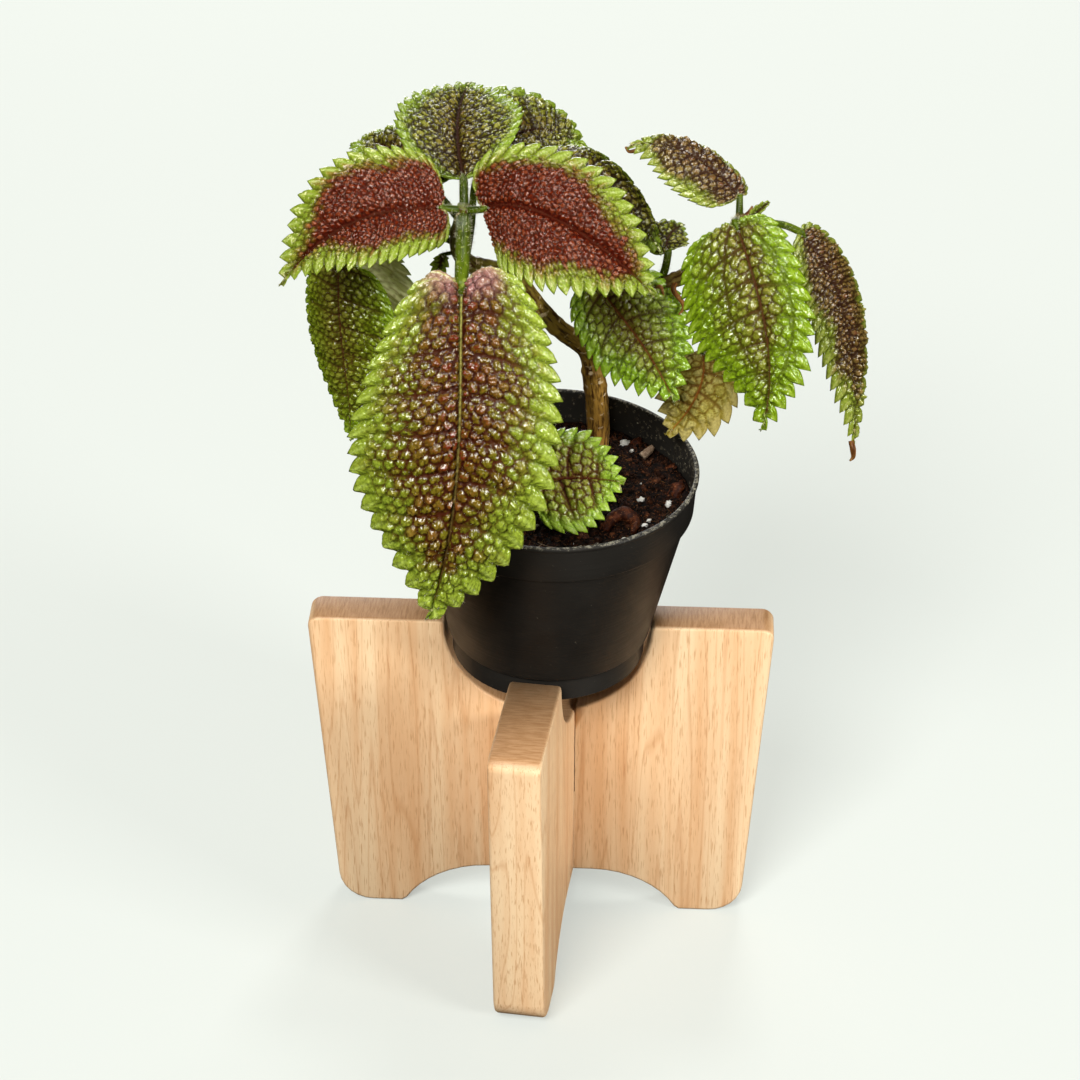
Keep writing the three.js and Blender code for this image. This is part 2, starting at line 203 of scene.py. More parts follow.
def makeLights():
    aim = Vector((0, 0, studio["aim"])) * millimetre + standCentre
    for name in ("key", "fill", "top", "back"):
        light = studio[name]
        data = bpy.data.lights.new(name, "AREA")
        data.size = light["size"] * millimetre
        data.energy = light["watts"]
        lamp = addObject(name, data)
        lamp.location = Vector(light["place"]) * millimetre + standCentre
        lamp.rotation_euler = (aim - lamp.location).to_track_quat("-Z", "Y").to_euler()
    world = bpy.data.worlds.new("paleStudio")
    world.use_nodes = True
    background = world.node_tree.nodes["Background"]
    background.inputs["Color"].default_value = toLinear(studio["world"])
    background.inputs["Strength"].default_value = studio["worldStrength"]
    bpy.context.scene.world = world
    world.cycles_visibility.glossy = False
    bpy.context.scene.view_settings.view_transform = "Standard"


def makeFloor():
    # it glows as much as it is lit from above, so that it stays even and shadows on it are faint
    floor = addObject("floor", gridMesh("floor", 2, 2, studio["floorSize"] * millimetre))
    material, tree = startMaterial("matte pale backdrop, lit from behind")
    shade, near, far = ([share * channel for channel in toLinear(studio["floor"])[:3]] + [1]
                        for share in (studio["floorShade"], *studio["floorGlow"]))
    depth = addNode(tree, "SeparateXYZ", {0: addNode(tree, "TexCoord").outputs["Object"]}).outputs[1]
    depth = addNode(tree, "MapRange", {0: depth, 1: -0.4, 2: 1.0}).outputs[0]
    glow = addNode(tree, "Mix", {0: depth, 6: near, 7: far}, data_type="RGBA").outputs[2]
    floor.data.materials.append(finishMaterial(material, {
        "Base Color": shade, "Emission Color": glow, "Emission Strength": 1, "Roughness": 0.9,
        "Specular IOR Level": 0}))
    floor.visible_diffuse = False
    floor.visible_glossy = False


makeCamera()
makeLights()
makeFloor()
print("stage ready")


# leaf blades
# Each leaf has its midrib's four points, half widths to the right and left of it, the ways its upper face
# looks at base and tip, its slope at the midrib and margin, and its outline: where it is widest, how blunt its
# base is and how drawn out its tip. Slopes and outline come in twos where the halves differ. Then come its
# teeth, the quilting between its veins, its stalk, and the palette that colours it.

leafDefaults = {
    "backLobe": 0, "grain": 0.5, "teeth": 20, "toothDepth": 2.2, "toothLean": 2.2, "slant": 0.5, "lobe": 4,
    "cell": 2.8, "rise": 1.3, "peak": 0.2, "wrinkle": 0.6, "veinSpacing": 9, "veinRise": 8,
    "sideVein": 0.0, "lateral": 1, "puff": 0.7, "keel": 1.2, "rib": 0.34, "band": (2, 6), "core": 9,
    "blush": 0, "thickness": 0.4, "hairs": 500, "stalkRadii": (1.3, 1.2), "slot": "green_leaf",
    "palette": "dark",
}

leaves = {
    "front_leaf": {
        "ribPoints": [(-21.5, -51, 295), (-20.5, -69, 266), (-22.5, -76, 226), (-32.3, -73, 177.5)],
        "outline": [(0.54, 0.36, 0.9), (0.44, 0.28, 0.6)], "halves": (35.6, 32),
        "faces": [(0.05, -0.9, 0.43), (0, -1, 0.1)], "slopes": (8, -30), "backLobe": 4.5,
        "toothDepth": 3.9, "toothLean": 1.6, "lobe": 7.2, "cell": 4.1, "rise": 1.8, "peak": 0.15,
        "veinSpacing": 15, "veinRise": 9, "keel": 1.6, "rib": 0.24, "band": (2, 18), "core": 13,
        "blush": 0.75, "hairs": 2200, "stalk": [(-24.8, -12, 298), (-23.2, -28, 300.5), (-22, -43, 299)],
        "stalkRadii": (2.6, 2.3), "slot": "red_leaf", "palette": "front", "seed": 1,
    },
    "left_red_leaf": {
        "ribPoints": [(-31, -15, 303), (-47.5, -21, 304.5), (-66, -27, 299), (-83.5, -34, 282)],
        "outline": (0.37, 0.25, 0.95), "halves": (23, 19), "faces": [(0, -0.5, 0.87), (-0.5, -0.7, 0.5)],
        "slopes": [(14, -4), (14, -6)], "grain": 0.45, "teeth": 19, "toothDepth": 2.8, "toothLean": 1.8,
        "lobe": 5.2, "cell": 2.0, "rise": 0.95, "peak": 0.6, "veinRise": 10, "lateral": 0.3,
        "band": (2.2, 8.4), "core": 30, "hairs": 900, "stalk": [(-24.5, -12, 300.8)], "slot": "red_leaf",
        "palette": "red", "seed": 2,
    },
    "right_red_leaf": {
        "ribPoints": [(-18, -15, 303), (-1.5, -20, 306.5), (20, -24, 297), (39.5, -26, 279)],
        "outline": (0.4, 0.25, 0.95), "halves": (23, 22), "faces": [(0, -0.75, 0.66), (0.4, -0.7, 0.5)],
        "slopes": (5, -12), "grain": 0.45, "toothDepth": 2.8, "toothLean": 1.8, "lobe": 5.4, "cell": 2.0,
        "rise": 0.95, "peak": 0.6, "veinRise": 10, "lateral": 0.3, "band": (2.4, 8.8), "core": 30,
        "hairs": 1000, "stalk": [(-24.8, -12, 300.8)], "slot": "red_leaf", "palette": "red", "seed": 3,
    },
    "back_leaf": {
        "ribPoints": [(-26.5, 5, 303.5), (-30.5, 24, 309.5), (-32, 45, 311.5), (-30.5, 67, 310)],
        "outline": (0.45, 0.5, 0.95), "halves": (22, 21), "faces": [(0, -0.3, 0.95), (0, 0.1, 0.95)],
        "slopes": (14, 0), "grain": 0.62, "teeth": 17, "rise": 1.0, "peak": 0.35, "veinSpacing": 10,
        "veinRise": 9, "band": (1.5, 7), "stalk": [(-24.7, -11.8, 300.6), (-25.5, -4, 302.5)],
        "stalkRadii": (1.6, 1.4), "seed": 4,
    },
    "back_left_leaf": {
        "ribPoints": [(-37.5, 8, 298.5), (-46, 19, 302), (-57, 31, 302.5), (-67.5, 41, 298)],
        "outline": (0.42, 0.3, 0.95), "halves": (19, 15), "faces": [(-0.2, -0.3, 0.93), (-0.3, 0.1, 0.95)],
        "slopes": (10, -10), "grain": 0.85, "teeth": 14, "veinSpacing": 10, "band": (1.5, 5), "core": 8,
        "hairs": 200, "stalk": [(-25.6, -11.8, 296), (-31.5, -1, 297)], "seed": 5,
    },
    "back_right_leaf": {
        "ribPoints": [(-23, 20, 299), (-14, 40, 302.5), (-2, 53, 300), (11, 56, 291)],
        "outline": (0.42, 0.3, 0.95), "halves": (20, 24), "faces": [(0.2, -0.35, 0.9), (0.4, -0.2, 0.9)],
        "slopes": (6, -20), "grain": 0.75, "teeth": 17, "lobe": 4.5, "veinSpacing": 10, "band": (2, 7),
        "core": 8, "hairs": 300, "stalk": [(-24.6, -8.7, 281), (-24, 3, 287), (-24, 13, 295)], "seed": 6,
    },
    "shoulder_leaf": {
        "ribPoints": [(3, 18, 300), (15, 21.5, 300.5), (29.5, 19, 288.5), (40, 13, 274)],
        "outline": (0.42, 0.3, 0.95), "halves": (20, 15), "faces": [(0.1, -0.4, 0.9), (0.6, -0.3, 0.7)],
        "slopes": [(0, -45), (0, -50)], "grain": 0.62, "teeth": 15, "toothDepth": 2, "lobe": 3.5,
        "cell": 2.5, "rise": 0.95, "peak": 0.5, "veinRise": 7, "band": (1, 5), "core": 6, "hairs": 300,
        "stalk": [(-8.5, 6, 265), (-5, 14, 283)], "stalkRadii": (1.5, 1.3), "seed": 7,
    },
    "lower_left_leaf": {
        "ribPoints": [(-70, 2, 272), (-70.5, 2, 248), (-69.5, 4, 225), (-68.5, 6, 198)],
        "outline": (0.45, 0.25, 0.95), "halves": (23, 23), "faces": [(-0.4, -0.9, 0.15), (-0.4, -0.9, 0)],
        "slopes": [(-10, -50), (0, -20)], "grain": 0.64, "toothDepth": 2.3, "lobe": 4.5, "cell": 3.0,
        "rise": 1.1, "peak": 0.3, "veinSpacing": 12,
        "stalk": [(-26.6, -11.3, 291.5), (-45, 0, 289.5), (-61, 2, 281)], "stalkRadii": (1.4, 1.2),
        "palette": "bright", "seed": 8,
    },
    "left_underside_leaf": {
        "ribPoints": [(-62, 16, 272), (-61.5, 20, 257), (-61, 23, 242), (-61, 23, 227)],
        "outline": (0.45, 0.3, 0.95), "halves": (15, 15), "faces": [(0, 0.9, 0.3), (0, 1, 0)],
        "slopes": (0, -15), "grain": 0.7, "teeth": 10, "toothDepth": 3.2, "lobe": 6, "cell": 3.2,
        "rise": 0.7, "veinSpacing": 13, "veinRise": 9, "band": (4, 8), "core": 0.1, "hairs": 100,
        "stalk": [(-26.8, -11, 287.5), (-42, 5, 284.5), (-55, 13, 279)], "stalkRadii": (1.2, 1.1),
        "seed": 9,
    },
    "hanging_leaflet": {
        "ribPoints": [(-32, -13, 284.5), (-32.5, -13.5, 282), (-33.5, -13.5, 279), (-34.5, -13.5, 276)],
        "outline": (0.5, 0.3, 0.95), "halves": (2.8, 2.8), "faces": [(0, -1, 0.2), (0, -1, 0)],
        "slopes": (0, 0), "grain": 0.3, "teeth": 4, "toothDepth": 1.2, "toothLean": 0.6, "lobe": 1,
        "cell": 1.6, "rise": 0.4, "veinSpacing": 4, "veinRise": 1, "puff": 0.2, "keel": 0.4, "rib": 0.3,
        "band": (0, 1), "core": 0.1, "hairs": 20, "stalk": [(-26, -10.2, 284.5)], "stalkRadii": (0.8, 0.6),
        "seed": 10,
    },
    "middle_leaf": {
        "ribPoints": [(17, 12, 264), (27, 8, 252), (37, 4, 239.5), (46.5, 2, 222)],
        "outline": (0.45, 0.25, 0.95), "halves": (17, 21), "faces": [(0.1, -0.75, 0.65), (0.2, -0.8, 0.5)],
        "slopes": (4, -20), "grain": 0.52, "teeth": 14, "toothDepth": 2.8, "cell": 3.5, "veinSpacing": 11,
        "band": (3, 9), "core": 7, "stalk": [(24, 26, 240), (18, 23, 252), (15, 16, 262)],
        "stalkRadii": (1.5, 1.3), "palette": "middle", "seed": 11,
    },
    "withered_leaf": {
        "ribPoints": [(55, 22, 231.5), (55.5, 18, 222), (51.5, 15, 212), (43.5, 13, 201.5)],
        "outline": (0.5, 0.3, 0.95), "halves": (15, 14), "faces": [(0.1, -0.85, 0.5), (0, -0.85, 0.5)],
        "slopes": (0, -20), "grain": 0.6, "teeth": 10, "toothDepth": 2.4, "lobe": 5, "cell": 4.0,
        "rise": 0.6, "peak": 0, "veinSpacing": 8, "veinRise": 6, "core": 5, "hairs": 150,
        "stalk": [(50, 18, 265), (55, 24, 250)], "stalkRadii": (1.1, 1.0), "slot": "withered_leaf",
        "palette": "withered", "seed": 12,
    },
    "small_leaf": {
        "ribPoints": [(42, 26, 268), (41.5, 29, 271), (43.5, 33, 273), (47, 37, 273)],
        "outline": (0.45, 0.3, 0.95), "halves": (7, 8), "faces": [(0.1, -0.5, 0.85), (0.1, -0.3, 0.9)],
        "slopes": (0, -20), "grain": 0.4, "teeth": 8, "toothDepth": 1.2, "toothLean": 0.7, "lobe": 2,
        "cell": 2.2, "rise": 0.6, "veinSpacing": 6, "veinRise": 3, "puff": 0.4, "keel": 0.6, "rib": 0.4,
        "band": (0.5, 3), "core": 0.1, "hairs": 80, "stalk": [(38, 22, 255), (41, 23, 262)],
        "stalkRadii": (1.5, 1.3), "seed": 13,
    },
    "right_green_leaf": {
        "ribPoints": [(65, -6, 297), (73, -20, 279.5), (78, -30, 259), (77, -34, 234)],
        "outline": (0.38, 0.25, 0.95), "halves": (27, 16),
        "faces": [(-0.25, -0.8, 0.55), (-0.25, -0.95, 0.2)], "slopes": (4, -25), "teeth": 17,
        "toothDepth": 3, "toothLean": 2, "lobe": 5, "cell": 3.9, "rise": 1.2, "veinSpacing": 11,
        "veinRise": 11, "sideVein": 0.48, "band": (5, 14), "core": 8, "hairs": 700,
        "stalk": [(66, 4.9, 291.5), (65.2, -1, 295)], "stalkRadii": (1.5, 1.3), "palette": "bright",
        "seed": 14,
    },
    "right_back_leaf": {
        "ribPoints": [(66, 9, 299), (57, 15, 306), (42.5, 21, 311.5), (27, 23, 308.5)],
        "outline": (0.42, 0.4, 0.95), "halves": (11, 14), "faces": [(0, -0.35, 0.93), (0, -0.35, 0.93)],
        "slopes": [(-10, -60), (0, -40)], "grain": 0.45, "teeth": 14, "toothDepth": 2, "lobe": 3.6,
        "cell": 2.6, "rise": 0.9, "peak": 0.4, "veinSpacing": 8, "veinRise": 6, "band": (1.5, 5),
        "hairs": 350, "stalk": [(66.2, 4.8, 292)], "stalkRadii": (1.3, 1.1), "palette": "mauve",
        "seed": 15,
    },
    "far_right_leaf": {
        "ribPoints": [(87, 6, 288), (100, 4, 268), (107.5, 1, 240), (109, -2, 206)],
        "outline": (0.4, 0.4, 0.95), "halves": (13, 16), "faces": [(0.4, -0.4, 0.8), (0.85, -0.55, 0.1)],
        "slopes": [(0, -45), (0, -40)], "cell": 2.3, "peak": 0.5, "veinRise": 6,
        "stalk": [(65, 5.7, 289.4), (74, 6.5, 290.5), (81, 7, 290)], "stalkRadii": (1.2, 1.3),
        "slot": "red_leaf", "palette": "mauve", "seed": 16,
    },
    "bud_leaf": {
        "ribPoints": [(70.5, 2.5, 294.5), (72, 2.5, 296.5), (74, 3, 298.5), (76, 4, 300)],
        "outline": (0.4, 0.3, 0.95), "halves": (2.6, 2.6), "faces": [(0, -0.7, 0.7), (0, -0.7, 0.7)],
        "slopes": (55, 55), "grain": 0.25, "teeth": 5, "toothDepth": 0.6, "toothLean": 0.4, "lobe": 1,
        "cell": 1.2, "rise": 0.3, "veinSpacing": 3, "veinRise": 1, "puff": 0.2, "keel": 0.3, "rib": 0.3,
        "band": (0, 2), "core": 0.1, "hairs": 60, "stalk": [(66.2, 4.7, 292)], "stalkRadii": (0.8, 0.7),
        "palette": "mauve", "seed": 17,
    },
    "soil_leaf": {
        "ribPoints": [(0, -13.5, 197.5), (10, -12.5, 198), (20, -11, 197.5), (29.5, -9.5, 195)],
        "outline": (0.36, 0.2, 0.95), "halves": (20, 19), "faces": [(0.1, -0.6, 0.8), (0.2, -0.6, 0.75)],
        "slopes": [(4, -10), (4, -20)], "grain": 0.55, "teeth": 12, "lobe": 5, "cell": 3.9, "rise": 1.0,
        "veinSpacing": 10, "veinRise": 7, "band": (2, 9), "core": 7, "hairs": 300,
        "stalk": [(-6, 0, 168), (-5, -4, 182), (-3, -11, 195)], "palette": "soil", "seed": 18,
    },
}


def fullness(leaf, u, v):
    # share of the full half width; u runs from base to tip, and v across from -1 at one margin to 1 at the other
    right, left = np.broadcast_to(leaf["outline"], (2, 3))
    widest, taper, tipTaper = (np.where(v > 0, a, b) for a, b in zip(right, left))
    skew = math.log(0.5) / np.log(widest)
    return np.sin(np.pi * np.clip(u, 0, 1) ** skew) ** (taper + tipTaper * u * u)


def onMidrib(leaf, u):
    # places on the midrib, and the way it runs there
    cubic = np.polyfit(np.arange(4) / 3, np.array(leaf["ribPoints"], float), 3)
    place = np.stack([u ** 3, u ** 2, u, np.ones_like(u)], 1) @ cubic
    return place, unit(np.stack([3 * u ** 2, 2 * u, np.ones_like(u)], 1) @ cubic[:3])


def bladeSurface(leaf, u, v, out=0.0, ahead=0.0):
    # places on the smooth blade, some moved out past the margin and ahead towards the tip
    place, along = onMidrib(leaf, u)
    baseFace, tipFace = np.array(leaf["faces"], float)
    face = baseFace + (tipFace - baseFace) * u[:, None]
    face = unit(face - along * (face * along).sum(1, keepdims=True))
    side = np.cross(along, face)
    w = np.abs(v)
    half = np.where(v > 0, *leaf["halves"])
    slopes = np.where(v[:, None] > 0, *np.broadcast_to(np.array(leaf["slopes"], float), (2, 2)))
    slope = np.radians(slopes[:, 0] + (slopes[:, 1] - slopes[:, 0]) * w / 2)
    reach = half * fullness(leaf, u, v) * w + out
    span = reach / half
    lobes = smoothStep(0, 0.28, span) * (1 - smoothStep(0.45, 1, span)) * (1 - smoothStep(0, 0.2, u))
    ahead = ahead - leaf["backLobe"] * lobes
    return (place + side * (np.sign(v) * reach * np.cos(slope))[:, None]
            + face * (reach * np.sin(slope) + 0.25 * leaf["backLobe"] * lobes)[:, None]
            + along * ahead[:, None])


def toothShape(share):
    # how far out and how far forward a tooth stands, from one notch to the next
    tip = 0.7
    rising = np.minimum(share / tip, 1)
    falling = np.clip((1 - share) / (1 - tip), 0, 1)
    return rising ** 0.8 * falling, rising ** 2 * falling


def hashed(a, b, seed):
    # a number from 0 to 1 that looks random, always the same for the same place
    value = np.sin(a * 127.1 + b * 311.7 + seed * 74.7) * 43758.5453
    return value - np.floor(value)


def quilting(x, y, size, seed):
    # distances to the nearest two of a loose staggered lattice of points, in cells, and a number for the cell
    acrossCells, alongCells = x / size, y / (size * 0.87)
    nearest = np.full(len(x), 9.0)
    second = np.full(len(x), 9.0)
    tint = np.zeros(len(x))
    for stepY in (-1, 0, 1):
        for stepX in (-2, -1, 0, 1, 2):
            row = np.floor(alongCells) + stepY
            column = np.floor(acrossCells) + stepX
            pointX = column + 0.5 * (row % 2) + 0.25 + 0.5 * hashed(column, row, seed)
            pointY = row + 0.25 + 0.5 * hashed(column, row, seed + 3)
            gap = np.hypot(acrossCells - pointX, (alongCells - pointY) * 0.87)
            closer = gap < nearest
            second = np.where(closer, nearest, np.minimum(second, gap))
            tint = np.where(closer, hashed(column, row, seed + 7), tint)
            nearest = np.where(closer, gap, nearest)
    return nearest, second, tint


def makeBlade(name, leaf, materials):
    length = sum(math.dist(*pair) for pair in zip(leaf["ribPoints"], leaf["ribPoints"][1:]))
    width = sum(leaf["halves"]) / 2
    fine = np.linspace(0, 1, 600)
    margin = np.cumsum(np.hypot(np.gradient(fine * length),
                                np.gradient(width * fullness(leaf, fine, np.ones(600)))))
    pitch = (margin[-1] - margin[0]) / leaf["teeth"]
    margin = (margin - margin[0]) / (margin[-1] - margin[0])
    mesh = gridMesh(name, 2 * round(width / leaf["grain"]), 10 * leaf["teeth"])
    grid = readPoints(mesh)
    v = grid[:, 0]
    rowShare = (grid[:, 1] + 1) / 2
    u = np.interp(rowShare, margin, fine)
    w = np.abs(v)
    halfWidth = np.where(v > 0, *leaf["halves"]) * fullness(leaf, u, v)
    x = np.sign(v) * (w * halfWidth)
    edge = (1 - w) * halfWidth
    fromRim = np.minimum(edge, (1 - u) * length)

    # teeth: each swells along its margin and leans towards the leaf's tip
    phase = leaf["teeth"] * rowShare + np.where(v > 0, 0.5, 0.0) + leaf["slant"] * edge / pitch
    share = np.round(phase - np.floor(phase + 1e-6), 6)
    outward, forward = toothShape(share)
    nearEdge = smoothStep(2.4 * leaf["toothDepth"], 0.1, edge) * smoothStep(0, 0.1, w)
    size = smoothStep(0, 0.06, u) * (0.55 + 0.45 * smoothStep(0.1, 0.6, u))
    size *= 1 - 0.4 * smoothStep(0.88, 1, u)
    size *= 0.75 + 0.5 * hashed(np.floor(phase + 1e-6), np.sign(v), leaf["seed"])
    out = leaf["toothDepth"] * (outward - 0.5) * nearEdge * size
    ahead = leaf["toothLean"] * forward * nearEdge * size

    # quilting: domes between the veins, in flat millimetres across and along the blade
    y = u * length - leaf["veinRise"] * (w * halfWidth / width) ** 1.7
    loose = leaf["cell"] * 0.3
    bentX = x + loose * np.sin(y / (1.9 * leaf["cell"]) + leaf["seed"]) * np.sin(x / (1.3 * leaf["cell"]))
    bentY = y + loose * np.sin(x / (1.6 * leaf["cell"]) + 2 * leaf["seed"])
    nearest, second, tint = quilting(bentX, bentY, leaf["cell"], leaf["seed"])
    dome = 1 - (1 - np.clip((second - nearest) / 0.55, 0, 1)) ** 2
    dome *= 1 - leaf["peak"] + leaf["peak"] * np.clip(1.15 - nearest / 0.55, 0, 1.15)
    near2, next2, tint2 = quilting(bentX, bentY, 0.45 * leaf["cell"], leaf["seed"] + 9)
    small = 1 - (1 - np.clip((next2 - near2) / 0.6, 0, 1)) ** 2
    swell = dome * (0.75 + 0.5 * tint) * (1 - leaf["wrinkle"] + leaf["wrinkle"] * small * (0.6 + 0.8 * tint2))
    shift = np.where(v > 0, 0.3, 0.0) + 0.12 * np.sin(x / 7 + 3 * leaf["seed"])
    lateral = (y / leaf["veinSpacing"] + shift) % 1
    fromLateral = np.minimum(lateral, 1 - lateral) * leaf["veinSpacing"]
    fade = 1 - smoothStep(0.75, 0.98, w)
    lateralVein = leaf["lateral"] * np.exp(-(fromLateral / (0.15 * leaf["cell"])) ** 2) * fade
    if leaf["sideVein"]:
        path = leaf["sideVein"] * width * np.sin(np.pi * np.clip(u / 0.78, 0, 1)) ** 0.6
        lateralVein = np.maximum(lateralVein, np.exp(-((np.abs(x) - path) / 0.5) ** 2) * (u < 0.78))
    midrib = np.exp(-(x / (leaf["rib"] * (1 - 0.5 * u))) ** 2) * (1 - smoothStep(0.9, 0.98, u))
    lobed = 1 - smoothStep(0.5 * leaf["lobe"], leaf["lobe"], fromRim)
    middle = 0.7 - 0.2 * smoothStep(0, 0.8 * leaf["lobe"], edge)
    toothVein = np.exp(-((share - middle) / 0.07) ** 2) * lobed * smoothStep(0.3, 1.2, edge)
    lobeDome = (1 - np.abs(2 * share - 1) ** 3) * (0.55 + 0.45 * small)
    swell = (swell * (1 - lobed) + lobeDome * lobed) * (1 - 0.85 * lateralVein)
    swell *= 1 - np.exp(-(x / (1.6 * leaf["rib"])) ** 2)
    arch = np.sin(np.pi * np.minimum(lateral, 1 - lateral)) * smoothStep(0, 4, np.abs(x)) * (1 - lobed)
    height = (leaf["rise"] * swell * smoothStep(0, 2, fromRim + lobed) + leaf["puff"] * arch
              - leaf["keel"] * np.exp(-(x / (3.5 * leaf["rib"])) ** 2) * (1 - smoothStep(0.8, 1, u))
              + 0.4 * leaf["rib"] * midrib - 0.3 * toothVein)

    points = bladeSurface(leaf, u, v, out, ahead)
    step = 1e-3
    alongStep = bladeSurface(leaf, u * (1 - 2 * step) + 2 * step, v) - bladeSurface(leaf, u * (1 - 2 * step), v)
    inside = np.clip(u, 0.004, 0.996)
    acrossStep = bladeSurface(leaf, inside, v + step) - bladeSurface(leaf, inside, v - step)
    points += unit(np.cross(acrossStep, alongStep)) * height[:, None]
    writePoints(mesh, placed(points))

    low, high = leaf["band"]
    patchy = (fromRim / (0.78 + 0.55 * u) + (tint - 0.5) * 0.4 * high + 1.5 * np.sin(y / 5 + leaf["seed"])
              - 1.5 * lateralVein * high / 9)
    zone = 1 - smoothStep(low, high, patchy)
    core = np.exp(-(x / (leaf["core"] * (1.35 - 0.6 * u))) ** 2) * (1 - smoothStep(0.5, 1, u))
    core = np.maximum(core, 0.55 * leaf["lateral"] * np.exp(-(fromLateral / 2) ** 2) * fade * (1 - 0.5 * u))
    blush = leaf["blush"] * (1 - smoothStep(0.02, 0.1, u)) * smoothStep(1, 4, np.abs(x)) * (
        1 - smoothStep(9, 16, np.abs(x)))
    vein = np.maximum(1 - smoothStep(0, 0.19, second - nearest), lateralVein) * (1 - lobed)
    vein = np.maximum(vein, (1 - smoothStep(0, 0.1, np.minimum(share, 1 - share))) * lobed * 0.7)
    addColours(mesh, "quilt", np.clip(swell, 0, 1), vein, tint, midrib)
    addColours(mesh, "zone", zone, toothVein, core, blush)
    addValues(mesh, "lengthwise", u)
    addValues(mesh, "flat", bentX, bentY, np.full(len(u), 9.0 * leaf["seed"]))
    weld(mesh, 1e-7)
    blade = finishPiece(mesh, name + "_blade", name, materials)
    skin = blade.modifiers.new("skin", "SOLIDIFY")
    skin.thickness = leaf["thickness"] * millimetre
    skin.offset = -1
    skin.material_offset = 1
    return blade


# leaf surfaces
# What the eye sees: thin dark veins, brown flanks and paler tops to the bubbles, a greener margin whose teeth
# have pale veins, and a crisp wet-looking gleam on every bubble. "core" colours lie along the midrib.

palettes = {
    "front": {
        "finish": "quilted red-brown leaf, glossy", "vein": ("#4a1604", "#2c0400"),
        "flank": ("#46340a", "#3c0800"), "tops": ("#7c8e22", "#7a6424"), "coreTop": "#641a0c",
        "margin": ("#5c6e12", "#88992f"), "rib": ("#b4b45c", "#5c200c"), "toothVein": "#b9cc64",
        "blush": "#a06e6c", "under": ("#9aa35c", "#7c3d2c"), "gleam": "#f2f0c8", "coat": 0.9,
    },
    "red": {
        "finish": "fine-pebbled maroon leaf, glossy", "vein": ("#2c0400", "#280300"),
        "flank": ("#440c04", "#3e0602"), "tops": ("#622008", "#9c5c3a"), "coreTop": "#601e06",
        "margin": ("#4c580c", "#7a8c28"), "rib": ("#3a0c04", "#300803"), "toothVein": "#b4c270",
        "blush": "#98984a", "under": ("#93954c", "#7a2c20"), "gleam": "#ffc890", "coat": 0.4,
    },
    "dark": {
        "finish": "bronze-green leaf, glossy", "vein": ("#1c1000", "#180600"),
        "flank": ("#323004", "#2a1402"), "tops": ("#727e20", "#8c8c3a"), "coreTop": "#5c421a",
        "margin": ("#465208", "#748a26"), "rib": ("#2b0a04", "#2b0a04"), "toothVein": "#8c9a48",
        "blush": "#6c6a30", "under": ("#e4e6a4", "#8c7c34"), "gleam": "#f0eec0", "coat": 0.6,
    },
    "middle": {
        "finish": "mid-green leaf, glossy", "vein": ("#33300a", "#3c1c06"),
        "flank": ("#647412", "#605214"), "tops": ("#86a424", "#a0b24a"), "coreTop": "#6c6024",
        "margin": ("#4c6408", "#7c9c20"), "rib": ("#6a3418", "#5c2810"), "toothVein": "#90a848",
        "blush": "#8f9c42", "under": ("#93a04c", "#6c5a28"), "gleam": "#eef2c4", "coat": 0.8,
    },
    "bright": {
        "finish": "bright green leaf, glossy", "vein": ("#403c04", "#3c2004"),
        "flank": ("#546208", "#4c440c"), "tops": ("#6c8210", "#84962c"), "coreTop": "#78702c",
        "margin": ("#526808", "#748f14"), "rib": ("#4a220c", "#46200c"), "toothVein": "#a0b24a",
        "blush": "#889438", "under": ("#9aa552", "#5c4a1c"), "gleam": "#f0f2c4", "coat": 0.8,
    },
    "mauve": {
        "finish": "mauve-brown leaf, glossy", "vein": ("#30180a", "#280e06"),
        "flank": ("#40340c", "#2c1206"), "tops": ("#887e38", "#98844a"), "coreTop": "#58301e",
        "margin": ("#525e0c", "#7f8c30"), "rib": ("#2c0e06", "#2c0e06"), "toothVein": "#b0b468",
        "blush": "#7c6c44", "under": ("#a39a54", "#6a3a20"), "gleam": "#f4e4b8", "coat": 0.6,
    },
    "withered": {
        "finish": "withered leaf, dry and dull", "vein": ("#5e4a10", "#4c300c"),
        "flank": ("#7a7024", "#6e5c1c"), "tops": ("#8c8438", "#9c9454"), "coreTop": "#887c40",
        "margin": ("#7c6e20", "#988a4c"), "rib": ("#5a2c0c", "#8a4a14"), "toothVein": "#aca064",
        "blush": "#989050", "under": ("#a0955a", "#6a4a20"), "gleam": "#f4e4b8", "coat": 0,
        "topRoughness": 0.6,
    },
    "soil": {
        "finish": "olive leaf with dark red veins, glossy", "vein": ("#4a1808", "#3c0c04"),
        "flank": ("#6c7214", "#644812"), "tops": ("#90a82c", "#a8ba4a"), "coreTop": "#948c38",
        "margin": ("#628010", "#98b838"), "rib": ("#4c1408", "#4c1408"), "toothVein": "#a8ba58",
        "blush": "#7a6a34", "under": ("#95984e", "#6a3a20"), "gleam": "#f0f0c4", "coat": 0.8,
    },
}


